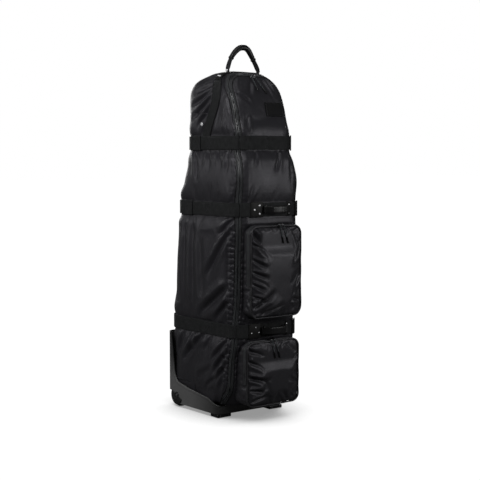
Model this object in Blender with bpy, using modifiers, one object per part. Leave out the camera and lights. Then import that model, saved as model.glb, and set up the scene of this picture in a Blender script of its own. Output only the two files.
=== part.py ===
"""Wheeled golf travel case: a tall soft bag on a moulded boot with two wheels and two feet.

Metres, +Z up.  The front, with its two pockets, faces -Y and the wheels are at +Y.
The origin is on the floor under the middle of the case.
"""

import bmesh
import bpy
import math
from mathutils import Matrix, Vector

# ---------------------------------------------------------------- driving dimensions
SKIN = 0.004                 # fabric with its padding
GAP = 0.0003                 # room between pieces that touch
CORNER_STEPS = 5             # facets in each rounded corner of the body

# Body sections: height, half width at the front and at the back, front y, back y, corner radius.
# Each strap lies in a flat waist of its own.
BODY_SECTIONS = [
    (0.045, 0.130, 0.146, -0.118, 0.200, 0.050),
    (0.120, 0.147, 0.155, -0.150, 0.216, 0.050),
    (0.220, 0.150, 0.155, -0.158, 0.222, 0.055),
    (0.298, 0.141, 0.155, -0.182, 0.225, 0.055),
    (0.352, 0.141, 0.155, -0.182, 0.225, 0.055),
    (0.450, 0.149, 0.157, -0.185, 0.219, 0.060),
    (0.600, 0.149, 0.155, -0.188, 0.210, 0.060),
    (0.700, 0.146, 0.152, -0.193, 0.203, 0.060),
    (0.730, 0.142, 0.147, -0.193, 0.193, 0.055),
    (0.784, 0.142, 0.147, -0.193, 0.193, 0.055),
    (0.850, 0.146, 0.148, -0.199, 0.174, 0.060),
    (0.925, 0.136, 0.141, -0.189, 0.153, 0.060),
    (0.965, 0.126, 0.133, -0.176, 0.149, 0.055),
    (1.019, 0.126, 0.133, -0.176, 0.149, 0.055),
    (1.070, 0.129, 0.134, -0.160, 0.152, 0.060),
    (1.130, 0.127, 0.132, -0.144, 0.155, 0.060),
    (1.170, 0.123, 0.129, -0.127, 0.151, 0.055),
    (1.200, 0.115, 0.119, -0.107, 0.139, 0.050),
    (1.225, 0.097, 0.100, -0.084, 0.114, 0.045),
    (1.245, 0.062, 0.064, -0.054, 0.073, 0.035),
    (1.256, 0.020, 0.020, -0.018, 0.022, 0.012),
]
DOME_START = 1.10
TUB_TOP = 0.16
SIDE_SEAM = 0.095            # where the side panels meet the back panel

# The zipped front opening: half widths at heights up its side, then a round arch at the top.
OPENING_SIDE = [(0.134, 0.050), (0.128, 0.450), (0.126, 0.860), (0.113, 1.000), (0.110, 1.100)]
OPENING_BOTTOM = OPENING_SIDE[0][1]
OPENING_TOP = 1.237
OPENING_RADIUS = 0.065
SEAM_GAP = 0.0010
ZIP_BOTTOM = 0.056            # the main zip stops just above the hinge line

WEBBING = 0.050              # strap width
WEB_START, WEB_END = 0.0034, 0.0056   # the straps pass over the zip
STRAPS = {"upper": 0.992, "mid": 0.757, "lower": 0.325}
BUCKLE_FRONT, BUCKLE_SPLIT, BUCKLE_BACK = -0.128, -0.102, -0.056

# Pockets: half width, bottom, top, front y
POCKETS = {"upper": (0.1125, 0.376, 0.700, -0.2365), "lower": (0.1160, 0.057, 0.288, -0.2200)}
POCKET_BACK = -0.100
POCKET_CORNER = 0.030
POCKET_ZIP_BACK = 0.021       # the middle of a pocket's zip behind its face
POCKET_ZIP_WIDTH = 0.010
ZIP_PROUD = 0.0018            # how far a pocket's zip stands off its sides
SLIDER_SPACING = 0.0075       # each of a pair of sliders from their middle

BOOT_HALF_WIDTH_FRONT, BOOT_HALF_WIDTH_BACK = 0.152, 0.163
BOOT_FRONT, BOOT_BACK = -0.083, 0.2365
BOOT_BOTTOM, BOOT_TOP = 0.013, 0.290
BOOT_WALL = 0.0045
AXLE_STEP_Y, AXLE_STEP_Z = 0.108, 0.104

WHEEL_RADIUS, WHEEL_WIDTH = 0.043, 0.026
WHEEL_X, WHEEL_Y = 0.1423, 0.170
WELL_INNER, WELL_OUTER = 0.1270, 0.1577
WELL_FRONT, WELL_TOP = 0.118, 0.098
WHEEL_ROOM = 0.0035           # between the tread and its well
COVER_RADIUS, COVER_BOTTOM = 0.036, 0.058   # the boot's disc over the wheel, and its lower edge behind
TRIM_INNER = 0.110
OUTSIDE = 0.20                # past the side of anything
AXLE_RADIUS = 0.004
AXLE_INNER = 0.118

FOOT_SIZE = (0.060, 0.048, BOOT_BOTTOM - GAP)
FOOT_X, FOOT_Y = 0.118, -0.0565

HANDLE_Y, HANDLE_PIVOT_Z = -0.032, 1.2508
HANDLE_LINE = [               # x and z along the handle, from its left end to its right end
    (-0.0700, 1.2508), (-0.0650, 1.2700), (-0.0545, 1.2950), (-0.0400, 1.3150), (-0.0240, 1.3290),
    (-0.0080, 1.3365), (0.0060, 1.3370), (0.0200, 1.3310), (0.0350, 1.3130), (0.0500, 1.2880),
    (0.0620, 1.2680), (0.0700, 1.2508)]
SIDE_WEBBING = [              # height and the y of its middle, from the handle down to the upper strap
    (1.222, -0.028), (1.205, -0.036), (1.165, -0.045), (1.122, -0.038), (1.080, -0.018),
    (1.045, 0.000), (1.019, 0.013)]


# ---------------------------------------------------------------- collections and materials
for old_object in list(bpy.data.objects):
    bpy.data.objects.remove(old_object, do_unlink=True)

case_collection = bpy.data.collections.new("golf_travel_case")
cutter_collection = bpy.data.collections.new("cutters")
bpy.context.scene.collection.children.link(case_collection)
bpy.context.scene.collection.children.link(cutter_collection)


def make_material(name, colour, roughness, metallic=0.0):
    material = bpy.data.materials.new(name)
    material.use_nodes = True
    shader = material.node_tree.nodes["Principled BSDF"]
    shader.inputs["Base Color"].default_value = (*colour, 1.0)
    shader.inputs["Roughness"].default_value = roughness
    shader.inputs["Metallic"].default_value = metallic
    return material


# Colour, roughness and metallic value of each kind of surface; every piece gets its own copy.
FINISHES = {
    "fabric": ((0.018, 0.018, 0.020), 0.55, 0.0),
    "webbing": ((0.012, 0.013, 0.014), 0.75, 0.0),
    "plastic": ((0.031, 0.031, 0.031), 0.45, 0.0),
    "rubber": ((0.012, 0.012, 0.012), 0.60, 0.0),
    "foam": ((0.050, 0.050, 0.055), 0.90, 0.0),
    "metal": ((0.55, 0.55, 0.56), 0.30, 1.0),
}


# ---------------------------------------------------------------- mesh helpers
def mesh_from_faces(name, vertices, faces):
    mesh = bpy.data.meshes.new(name)
    mesh.from_pydata([tuple(v) for v in vertices], [], faces)
    work = bmesh.new()
    work.from_mesh(mesh)
    bmesh.ops.recalc_face_normals(work, faces=work.faces)
    work.to_mesh(mesh)
    work.free()
    return mesh


def place(name, mesh, finish, pivot=(0, 0, 0), smooth=False):
    """Add a piece to the case, with its origin at pivot and its shape left where it is."""
    mesh.transform(Matrix.Translation(-Vector(pivot)))
    piece = bpy.data.objects.new(name, mesh)
    piece.location = pivot
    case_collection.objects.link(piece)
    colour, roughness, metallic = FINISHES[finish]
    mesh.materials.append(make_material(name + "_" + finish, colour, roughness, metallic))
    if smooth:
        mesh.shade_smooth()
        mesh.set_sharp_from_angle(angle=math.radians(35))
    return piece


def as_cutter(name, mesh):
    cutter = bpy.data.objects.new(name, mesh)
    cutter.hide_render = True
    cutter.display_type = "WIRE"
    cutter_collection.objects.link(cutter)
    return cutter


def boolean(piece, operand, operation="DIFFERENCE"):
    modifier = piece.modifiers.new(operation.lower(), "BOOLEAN")
    modifier.operation = operation
    modifier.solver = "EXACT"
    modifier.object = operand


def bevel(piece, width, segments=2, angle=40):
    modifier = piece.modifiers.new("bevel", "BEVEL")
    modifier.width = width
    modifier.segments = segments
    modifier.limit_method = "ANGLE"
    modifier.angle_limit = math.radians(angle)


def box_mesh(name, low, high):
    low, high = Vector(low), Vector(high)
    work = bmesh.new()
    bmesh.ops.create_cube(work, size=1.0)
    bmesh.ops.scale(work, vec=high - low, verts=work.verts)
    bmesh.ops.translate(work, vec=(low + high) / 2, verts=work.verts)
    mesh = bpy.data.meshes.new(name)
    work.to_mesh(mesh)
    work.free()
    return mesh


def cylinder_mesh(name, radius, x_start, x_end, y, z, segments=24):
    """A cylinder along X."""
    work = bmesh.new()
    bmesh.ops.create_cone(work, cap_ends=True, segments=segments, radius1=radius, radius2=radius,
                          depth=abs(x_end - x_start))
    bmesh.ops.rotate(work, cent=(0, 0, 0), matrix=Matrix.Rotation(math.pi / 2, 3, "Y"),
                     verts=work.verts)
    bmesh.ops.translate(work, vec=((x_start + x_end) / 2, y, z), verts=work.verts)
    mesh = bpy.data.meshes.new(name)
    work.to_mesh(mesh)
    work.free()
    return mesh


def prism_mesh(name, outline, axis, start, end):
    """A flat outline pushed along an axis: (x, z) points for Y and (y, z) points for X."""
    def lift(point, along):
        return (point[0], along, point[1]) if axis == "Y" else (along, point[0], point[1])

    count = len(outline)
    vertices = [lift(p, start) for p in outline] + [lift(p, end) for p in outline]
    faces = [tuple(range(count)), tuple(range(count, 2 * count))]
    faces += [(i, (i + 1) % count, (i + 1) % count + count, i + count) for i in range(count)]
    return mesh_from_faces(name, vertices, faces)


def loft_mesh(name, rings):
    """A closed solid through rings of equal length, with a flat cap at each end."""
    count = len(rings[0])
    vertices = [p for ring in rings for p in ring]
    faces = [tuple(range(count)), tuple(range((len(rings) - 1) * count, len(rings) * count))]
    for level in range(len(rings) - 1):
        base = level * count
        for i in range(count):
            j = (i + 1) % count
            faces.append((base + i, base + j, base + count + j, base + count + i))
    return mesh_from_faces(name, vertices, faces)


def span(sign, near, far):
    """Two distances from the middle plane on one side, as rising x."""
    return sorted((sign * near, sign * far))


def arc(centre, radius, start, end, steps):
    """Points on an arc, angles in degrees, both ends included."""
    angles = [math.radians(start + (end - start) * k / steps) for k in range(steps + 1)]
    return [(centre[0] + radius * math.cos(a), centre[1] + radius * math.sin(a)) for a in angles]


# ---------------------------------------------------------------- the body's outer surface
def section(z):
    """Half widths, front, back and corner radius at one height, between the listed sections."""
    z = min(max(z, BODY_SECTIONS[0][0]), BODY_SECTIONS[-1][0])
    for low, high in zip(BODY_SECTIONS, BODY_SECTIONS[1:]):
        if z <= high[0]:
            t = (z - low[0]) / (high[0] - low[0])
            return [a + (b - a) * t for a, b in zip(low[1:], high[1:])]
    return list(BODY_SECTIONS[-1][1:])


def rounded_ring(z, width_front, width_back, front, back, radius, steps=CORNER_STEPS):
    """A rounded rectangle at height z, whose sides may spread towards the back."""
    corners = [
        (width_back - radius, back - radius, 0),
        (-width_back + radius, back - radius, 90),
        (-width_front + radius, front + radius, 180),
        (width_front - radius, front + radius, 270),
    ]
    points = []
    for x, y, start in corners:
        points += arc((x, y), radius, start, start + 90, steps)
    return [(x, y, z) for x, y in points]


def body_mesh(name, inset, bottom_rise=0.0):
    """The body's form, pulled in by inset all round and lowered by it over the dome."""
    rings = []
    top = BODY_SECTIONS[-1][0]
    for z, width_front, width_back, front, back, radius in BODY_SECTIONS:
        share = min(max((z - DOME_START) / (top - DOME_START), 0.0), 1.0)
        height = z - inset * share
        if z == BODY_SECTIONS[0][0]:
            height += bottom_rise
        rings.append(rounded_ring(height, width_front - inset, width_back - inset,
                                  front + inset, back - inset, max(radius - inset, 0.004)))
    return loft_mesh(name, rings)


def front_y(x, z):
    width, _, front, _, radius = section(z)
    over = abs(x) - (width - radius)
    if over <= 0:
        return front
    over = min(over, radius * 0.98)
    return front + radius - math.sqrt(radius * radius - over * over)


def side_x(y, z):
    width_front, width_back, front, back, radius = section(z)
    start, end = front + radius, back - radius
    t = min(max((y - start) / (end - start), 0.0), 1.0)
    width = width_front + (width_back - width_front) * t
    over = max(start - y, y - end, 0.0)
    over = min(over, radius * 0.98)
    return width - radius + math.sqrt(radius * radius - over * over)


def on_front(x, z):
    return Vector((x, front_y(x, z), z))


def on_side(sign):
    return lambda y, z: Vector((sign * side_x(y, z), y, z))


def surface_normal(surface, a, z, outward):
    step = 0.002
    across = surface(a + step, z) - surface(a - step, z)
    along = surface(a, z + step) - surface(a, z - step)
    normal = across.cross(along).normalized()
    return normal if normal.dot(outward) > 0 else -normal


def patch_mesh(name, surface, outward, rows, end, start=-0.006):
    """A sheet that follows the body: rows of surface coordinates, thick from start to end.

    It starts under the body's surface, and is cut back from it afterwards.
    """
    inner, outer = [], []
    for row in rows:
        for a, z in row:
            point = surface(a, z)
            normal = surface_normal(surface, a, z, outward)
            inner.append(point + normal * start)
            outer.append(point + normal * end)
    across, down = len(rows[0]), len(rows)
    shift = len(inner)
    faces = []
    for r in range(down - 1):
        for c in range(across - 1):
            first, following = r * across + c, (r + 1) * across + c
            quad = (first, first + 1, following + 1, following)
            faces.append(quad)
            faces.append(tuple(v + shift for v in quad))
    rim = [c for c in range(across)]
    rim += [r * across + across - 1 for r in range(1, down)]
    rim += [(down - 1) * across + c for c in range(across - 2, -1, -1)]
    rim += [r * across for r in range(down - 2, 0, -1)]
    for first, second in zip(rim, rim[1:] + rim[:1]):
        faces.append((first, second, second + shift, first + shift))
    return mesh_from_faces(name, inner + outer, faces)


# ---------------------------------------------------------------- cutters of the body
def opening_outline(grow, top_corner_steps=6):
    """The zipped opening seen from the front, from its lower left corner round to the right."""
    right = [(width + grow, z) for width, z in OPENING_SIDE]
    right[0] = (right[0][0], OPENING_BOTTOM - grow)
    radius = OPENING_RADIUS + grow
    centre = (right[-1][0] - radius, OPENING_TOP + grow - radius)
    right += arc(centre, radius, 0, 90, top_corner_steps)
    return right + [(-x, z) for x, z in reversed(right)]


def opening_half_width(z):
    """Half the opening's width at a height on its straight side."""
    for (width_low, low), (width_high, high) in zip(OPENING_SIDE, OPENING_SIDE[1:]):
        if z <= high:
            return width_low + (width_high - width_low) * (z - low) / (high - low)
    return OPENING_SIDE[-1][0]


inner_form = as_cutter("inner_form", body_mesh("inner_form", SKIN, SKIN))
inner_step = as_cutter("inner_step", box_mesh("inner_step", (-0.3, AXLE_STEP_Y - SKIN, 0.0),
                                              (0.3, 0.4, AXLE_STEP_Z + SKIN)))
boolean(inner_form, inner_step)
outer_step = as_cutter("outer_step", box_mesh("outer_step", (-0.3, AXLE_STEP_Y, 0.0),
                                              (0.3, 0.4, AXLE_STEP_Z)))
grown_form = as_cutter("grown_form", body_mesh("grown_form", -GAP))
opening_cutter = as_cutter("opening", prism_mesh("opening", opening_outline(0.0), "Y", -0.4, 0.0))
flap_region = as_cutter("flap_region",
                        prism_mesh("flap_region", opening_outline(-SEAM_GAP), "Y", -0.4, -0.0005))


# ---------------------------------------------------------------- fabric panels
def make_panel(name, region_low, region_high, finish="fabric"):
    """One panel of the bag's skin: the part of it that lies inside a box."""
    panel = place(name, body_mesh(name, 0.0), finish, smooth=True)
    boolean(panel, outer_step)
    boolean(panel, inner_form)
    region = as_cutter(name + "_region", box_mesh(name + "_region", region_low, region_high))
    boolean(panel, region, "INTERSECT")
    boolean(panel, opening_cutter)
    return panel


def make_body():
    top = DOME_START
    make_panel("bottom_panel", (-0.3, -0.3, 0.0), (0.3, 0.3, TUB_TOP))
    make_panel("back_panel", (-SIDE_SEAM, 0.02, TUB_TOP + GAP), (SIDE_SEAM, 0.3, top))
    for side, sign in (("left", -1), ("right", 1)):
        edge = span(sign, SIDE_SEAM + GAP, 0.3)
        make_panel("side_panel_" + side, (edge[0], -0.3, TUB_TOP + GAP), (edge[1], 0.3, top))
    make_panel("top_panel", (-0.3, -0.3, top + GAP), (0.3, 0.3, 1.4))

    front = place("front_panel", body_mesh("front_panel", 0.0), "fabric", FLAP_HINGE, smooth=True)
    boolean(front, inner_form)
    boolean(front, flap_region, "INTERSECT")


FLAP_HINGE = (0.0, front_y(0.0, OPENING_BOTTOM), OPENING_BOTTOM)


def make_stiffeners():
    """The foam cap over the club heads and the board that stiffens the lower back."""
    padding = place("top_padding", body_mesh("top_padding", SKIN + 0.001), "foam")
    hollow = as_cutter("padding_hollow", body_mesh("padding_hollow", SKIN + 0.021))
    region = as_cutter("padding_region",
                       box_mesh("padding_region", (-0.3, -0.030, 1.125), (0.3, 0.3, 1.4)))
    boolean(padding, hollow)
    boolean(padding, region, "INTERSECT")

    low, high = (0.204, 0.112), (0.186, 0.720)
    board_thickness = 0.003
    outline = [low, (low[0] + board_thickness, low[1]), (high[0] + board_thickness, high[1]), high]
    place("back_board", prism_mesh("back_board", outline, "X", -0.100, 0.100), "plastic")


# ---------------------------------------------------------------- boot, feet and wheels
def boot_ring(z, inset):
    return rounded_ring(z, BOOT_HALF_WIDTH_FRONT - inset, BOOT_HALF_WIDTH_BACK - inset,
                        BOOT_FRONT + inset, BOOT_BACK - inset, 0.030 - inset)


def make_boot():
    outside = loft_mesh("base_boot", [boot_ring(BOOT_BOTTOM, 0.0), boot_ring(BOOT_TOP, 0.0)])
    boot = place("base_boot", outside, "plastic", smooth=True)
    hollow = loft_mesh("boot_hollow", [boot_ring(BOOT_BOTTOM + BOOT_WALL, BOOT_WALL),
                                       boot_ring(BOOT_TOP + 0.1, BOOT_WALL)])
    boolean(boot, as_cutter("boot_hollow", hollow))

    # The rim: low at the front, swept up behind the wheels to a tall back.
    rim = [(-0.12, 0.040), (-0.078, 0.042), (-0.022, 0.064), (0.100, 0.080)]
    rim += arc((0.128, 0.142), 0.060, -55, -8, 5)
    rim += [(0.196, 0.200), (0.208, 0.282), (0.30, 0.282), (0.30, 0.40), (-0.12, 0.40)]
    rim_cutter = as_cutter("boot_rim", prism_mesh("boot_rim", rim, "X", -0.3, 0.3))

    guide = as_cutter("boot_guide", loft_mesh("boot_guide", [boot_ring(BOOT_BOTTOM + 0.001, 0.0010),
                                                            boot_ring(BOOT_TOP, 0.0010)]))
    for side, sign in (("left", -1), ("right", 1)):
        x = span(sign, WELL_INNER - BOOT_WALL - 0.001, OUTSIDE)
        block = as_cutter("well_block_" + side,
                          box_mesh("well_block", (x[0], WELL_FRONT, 0.0), (x[1], 0.4, WELL_TOP)))
        boolean(block, guide, "INTERSECT")
        boolean(boot, block, "UNION")
    boolean(boot, rim_cutter)
    for side, sign in (("left", -1), ("right", 1)):
        x = span(sign, WELL_INNER, WELL_OUTER)
        well = as_cutter("wheel_well_" + side,
                         cylinder_mesh("wheel_well", WHEEL_RADIUS + WHEEL_ROOM, *x, WHEEL_Y, WHEEL_RADIUS))
        behind = as_cutter("well_behind_" + side,
                           box_mesh("well_behind", (x[0], WHEEL_Y, -0.02), (x[1], 0.4, COVER_BOTTOM)))
        below = as_cutter("well_below_" + side,
                          box_mesh("well_below", (x[0], WHEEL_Y - 0.038, -0.02),
                                   (x[1], WHEEL_Y + 0.01, WHEEL_RADIUS - 0.010)))
        x = span(sign, TRIM_INNER, OUTSIDE)
        trim = as_cutter("corner_trim_" + side,
                         box_mesh("corner_trim", (x[0], WHEEL_Y, -0.02), (x[1], 0.4, COVER_BOTTOM)))
        cover = as_cutter("wheel_cover_" + side,
                          cylinder_mesh("wheel_cover", COVER_RADIUS, -0.25, 0.25, WHEEL_Y, WHEEL_RADIUS))
        boolean(trim, cover)
        x = span(sign, 0.10, OUTSIDE)
        hole = as_cutter("axle_hole_" + side,
                         cylinder_mesh("axle_hole", AXLE_RADIUS + GAP, *x, WHEEL_Y, WHEEL_RADIUS, 16))
        for cutter in (well, behind, below, trim, hole):
            boolean(boot, cutter)

        centre = Vector((sign * FOOT_X, FOOT_Y, FOOT_SIZE[2] / 2))
        half = Vector(FOOT_SIZE) / 2
        foot = place("foot_" + side, box_mesh("foot", centre - half, centre + half), "rubber")
        bevel(foot, 0.003, 2)


def turned_mesh(name, profile, x, segments=24):
    """A ring about an axle along X: (radius, offset along the axle) points, closed."""
    vertices, faces = [], []
    count = len(profile)
    for k in range(segments):
        angle = 2 * math.pi * k / segments
        for radius, offset in profile:
            vertices.append((x + offset, radius * math.cos(angle), radius * math.sin(angle)))
    for k in range(segments):
        base, following = k * count, ((k + 1) % segments) * count
        for i in range(count):
            j = (i + 1) % count
            faces.append((base + i, base + j, following + j, following + i))
    mesh = mesh_from_faces(name, vertices, faces)
    mesh.transform(Matrix.Translation((0, WHEEL_Y, WHEEL_RADIUS)))
    return mesh


def make_wheels():
    half = WHEEL_WIDTH / 2
    rim_radius = 0.030
    for side, sign in (("left", -1), ("right", 1)):
        centre = sign * WHEEL_X
        pivot = (centre, WHEEL_Y, WHEEL_RADIUS)
        tread = [(rim_radius, -half), (WHEEL_RADIUS - 0.004, -half), (WHEEL_RADIUS, -half + 0.005),
                 (WHEEL_RADIUS, half - 0.005), (WHEEL_RADIUS - 0.004, half), (rim_radius, half)]
        place("tyre_" + side, turned_mesh("tyre", tread, centre), "rubber", pivot, smooth=True)
        bore, edge = AXLE_RADIUS + 0.0002, rim_radius - GAP
        hub = [(bore, -half), (0.010, -half), (0.012, -half + 0.006), (0.024, -half + 0.006),
               (edge, -half + 0.001), (edge, half - 0.001), (0.024, half - 0.006),
               (0.012, half - 0.006), (0.010, half), (bore, half)]
        place("hub_" + side, turned_mesh("hub", hub, centre), "plastic", pivot, smooth=True)
        ends = span(sign, AXLE_INNER, BOOT_HALF_WIDTH_BACK + 0.0005)
        place("axle_" + side, cylinder_mesh("axle", AXLE_RADIUS, *ends, WHEEL_Y, WHEEL_RADIUS, 16),
              "metal", smooth=True)


# ---------------------------------------------------------------- straps and buckles
def band_mesh(name, z):
    """A closed band of webbing round the body at one height."""
    def ring(height, off):
        width_front, width_back, front, back, radius = section(z)
        return rounded_ring(height, width_front + off, width_back + off, front - off, back + off,
                            radius + off)

    low, high = z - WEBBING / 2, z + WEBBING / 2
    rings = [ring(low, WEB_START), ring(low, WEB_END), ring(high, WEB_END), ring(high, WEB_START)]
    count = len(rings[0])
    vertices = [p for r in rings for p in r]
    faces = []
    for k in range(4):
        base, following = k * count, ((k + 1) % 4) * count
        for i in range(count):
            j = (i + 1) % count
            faces.append((base + i, base + j, following + j, following + i))
    return mesh_from_faces(name, vertices, faces)


def make_straps():
    for level, z in STRAPS.items():
        seam = opening_half_width(z - WEBBING / 2)
        rear = place("strap_rear_" + level, band_mesh("strap_rear", z), "webbing", smooth=True)
        boolean(rear, as_cutter("strap_rear_region", box_mesh("strap_rear_region", (-seam, -0.4, 0.0),
                                                              (0.4, BUCKLE_BACK + GAP, 1.2))))
        front = place("strap_front_" + level, band_mesh("strap_front", z), "webbing", pivot=FLAP_HINGE,
                      smooth=True)
        boolean(front, as_cutter("strap_front_region",
                                 box_mesh("strap_front_region", (SEAM_GAP - seam, -0.4, 0.0),
                                          (0.4, BUCKLE_FRONT, 1.2))), "INTERSECT")
        make_buckle(level, z)


def make_buckle(level, z):
    """A side-release buckle on the right side: the male half comes in from the front."""
    base = side_x(BUCKLE_BACK, z) + 0.0010
    thick, half_tall = 0.0130, 0.030

    def block(part, inset, front, back, half_height):
        return box_mesh(part, (base + inset, front, z - half_height),
                        (base + thick - inset, back, z + half_height))

    female = place("buckle_female_" + level,
                   block("buckle_female", 0.0, BUCKLE_SPLIT + GAP, BUCKLE_BACK, half_tall), "plastic")
    bevel(female, 0.003, 2)
    mouth = block("buckle_mouth", 0.0030, BUCKLE_SPLIT - 0.010, BUCKLE_BACK - 0.010, 0.023)
    boolean(female, as_cutter("buckle_mouth_" + level, mouth))
    shell = block("buckle_male", 0.0, BUCKLE_FRONT + GAP, BUCKLE_SPLIT, half_tall)
    male = place("buckle_male_" + level, shell, "plastic", FLAP_HINGE)
    bevel(male, 0.003, 2)
    tongue = as_cutter("buckle_tongue_" + level,
                       block("buckle_tongue", 0.0042, BUCKLE_SPLIT - 0.005, BUCKLE_BACK - 0.016, 0.019))
    boolean(male, tongue, "UNION")


def make_side_webbing():
    """The carrying webbing that runs from each end of the top handle down to the upper strap."""
    for side, sign in (("left", -1), ("right", 1)):
        rows = []
        for (high, start), (low, end) in zip(SIDE_WEBBING, SIDE_WEBBING[1:]):
            for k in range(2):
                centre, z = start + (end - start) * k / 2, high + (low - high) * k / 2
                rows.append([(centre + WEBBING / 2 * c, z) for c in (-1, -0.33, 0.33, 1)])
        rows.append([(end + WEBBING / 2 * c, low) for c in (-1, -0.33, 0.33, 1)])
        outward = Vector((sign, 0, 0.3))
        strip = patch_mesh("side_webbing", on_side(sign), outward, rows, 0.0026)
        webbing = place("side_webbing_" + side, strip, "webbing", smooth=True)
        boolean(webbing, grown_form)


# ---------------------------------------------------------------- pockets, patch and zips
def pocket_outline(width, low, high, grow, steps=4):
    radius = POCKET_CORNER + grow
    across, top, bottom = width + grow - radius, high + grow - radius, low - grow + radius
    corners = [(across, top, 0), (-across, top, 90), (-across, bottom, 180), (across, bottom, 270)]
    points = []
    for x, z, start in corners:
        points += arc((x, z), radius, start, start + 90, steps)
    return points


def make_pockets():
    for level, (width, low, high, face) in POCKETS.items():
        pocket = place(level + "_pocket",
                       prism_mesh("pocket", pocket_outline(width, low, high, 0.0), "Y", POCKET_BACK, face),
                       "fabric", pivot=FLAP_HINGE, smooth=True)
        bevel(pocket, 0.010, 2, 60)
        boolean(pocket, grown_form)
        zip_y = face + POCKET_ZIP_BACK
        half_width = POCKET_ZIP_WIDTH / 2
        track = place(level + "_pocket_zip",
                      prism_mesh("pocket_zip", pocket_outline(width, low, high, ZIP_PROUD), "Y",
                                 zip_y - half_width, zip_y + half_width),
                      "rubber", pivot=FLAP_HINGE)
        bore = as_cutter(level + "_zip_bore",
                         prism_mesh("zip_bore", pocket_outline(width, low, high, GAP), "Y", -0.4, 0.0))
        lower = as_cutter(level + "_zip_lower", box_mesh("zip_lower", (-0.3, -0.4, 0.0),
                                                         (0.3, 0.0, low + 0.35 * (high - low))))
        boolean(track, bore)
        boolean(track, lower)


def make_patch():
    """The blank rubber patch on the upper right of the front."""
    rows = [[(0.012 + 0.076 * c / 4, 1.135 - 0.050 * r / 3) for c in range(5)] for r in range(4)]
    patch = place("front_patch", patch_mesh("front_patch", on_front, Vector((0, -1, 0.2)), rows, 0.0022),
                  "rubber", pivot=FLAP_HINGE)
    boolean(patch, grown_form)


def zip_rows(inner, outer):
    """Rows across a strip that follows the opening, from the lower left up and over."""
    rows = list(zip(opening_outline(inner, 8), opening_outline(outer, 8)))
    heights = [entry[0] for entry in BODY_SECTIONS]
    dense = []
    for first, second in zip(rows, rows[1:]):
        low, high = first[0][1], second[0][1]
        stops = [0.0]
        if abs(high - low) > 0.02:
            between = [z for z in heights if min(low, high) < z < max(low, high)]
            stops += sorted((z - low) / (high - low) for z in between)
        elif abs(second[0][0] - first[0][0]) > 0.04:
            stops += [0.25, 0.5, 0.75]
        for t in stops:
            dense.append([(a[0] + (b[0] - a[0]) * t, max(a[1] + (b[1] - a[1]) * t, ZIP_BOTTOM))
                          for a, b in zip(first, second)])
    dense.append([(x, max(z, ZIP_BOTTOM)) for x, z in rows[-1]])
    return dense


def make_main_zip():
    """The zip round the front opening, sewn to the body's edge."""
    rows = zip_rows(0.0008, 0.0068)
    strip = patch_mesh("main_zip", on_front, Vector((0, -1, 0.3)), rows, 0.0024)
    main_zip = place("main_zip", strip, "rubber")
    boolean(main_zip, grown_form)


# ---------------------------------------------------------------- handles
def tube_mesh(name, points, radii, resolution=2):
    """A capped tube along points, made from a curve."""
    curve = bpy.data.curves.new(name, "CURVE")
    curve.dimensions = "3D"
    curve.bevel_depth = 1.0
    curve.bevel_resolution = resolution
    curve.use_fill_caps = True
    spline = curve.splines.new("POLY")
    spline.points.add(len(points) - 1)
    for target, point, radius in zip(spline.points, points, radii):
        target.co = (*point, 1.0)
        target.radius = radius
    guide = bpy.data.objects.new(name, curve)
    cutter_collection.objects.link(guide)
    evaluated = guide.evaluated_get(bpy.context.evaluated_depsgraph_get())
    mesh = bpy.data.meshes.new_from_object(evaluated)
    work = bmesh.new()
    work.from_mesh(mesh)
    bmesh.ops.remove_doubles(work, verts=work.verts, dist=0.00005)
    bmesh.ops.recalc_face_normals(work, faces=work.faces)
    work.to_mesh(mesh)
    work.free()
    mesh.materials.clear()
    bpy.data.objects.remove(guide, do_unlink=True)
    bpy.data.curves.remove(curve)
    return mesh


def handle_point(share):
    """A point on the top handle's centre line, from 0 at its left end to 1 at its right end."""
    steps = [math.dist(a, b) for a, b in zip(HANDLE_LINE, HANDLE_LINE[1:])]
    rest = share * sum(steps)
    for start, end, length in zip(HANDLE_LINE, HANDLE_LINE[1:], steps):
        if rest <= length:
            break
        rest -= length
    t = min(rest / length, 1.0)
    return (start[0] + (end[0] - start[0]) * t, HANDLE_Y, start[1] + (end[1] - start[1]) * t)


def make_top_handle():
    """A webbing loop with a padded grip round its middle."""
    pivot = (0.0, HANDLE_Y, HANDLE_PIVOT_Z)
    steps = 11
    grip_start = 0.20         # as a share of the handle, at each end
    grip = [handle_point(grip_start + (1 - 2 * grip_start) * k / steps) for k in range(steps + 1)]
    radii = [0.0088 + 0.0020 * math.sin(math.pi * k / steps) for k in range(steps + 1)]
    place("top_handle_grip", tube_mesh("top_handle_grip", grip, radii), "rubber", pivot, smooth=True)
    for side, sign in (("left", -1), ("right", 1)):
        leg_steps = 4
        shares = [(grip_start - 0.012) * (1 - k / leg_steps) for k in range(leg_steps + 1)]
        leg = [handle_point(share if sign < 0 else 1 - share) for share in shares]
        place("top_handle_leg_" + side, tube_mesh("leg", leg, [0.0065, 0.0062, 0.0056, 0.0050, 0.0045]),
              "webbing", pivot, smooth=True)
        rows = []
        for k in range(4):
            z = 1.2450 - 0.0215 * k / 3
            rows.append([(HANDLE_Y + 0.0095 + 0.011 * c, z) for c in (-1, 0, 1)])
        sheet = patch_mesh("handle_plate", on_side(sign), Vector((sign, 0, 0.3)), rows, 0.0035)
        plate = place("handle_plate_" + side, sheet, "plastic")
        boolean(plate, grown_form)


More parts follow.
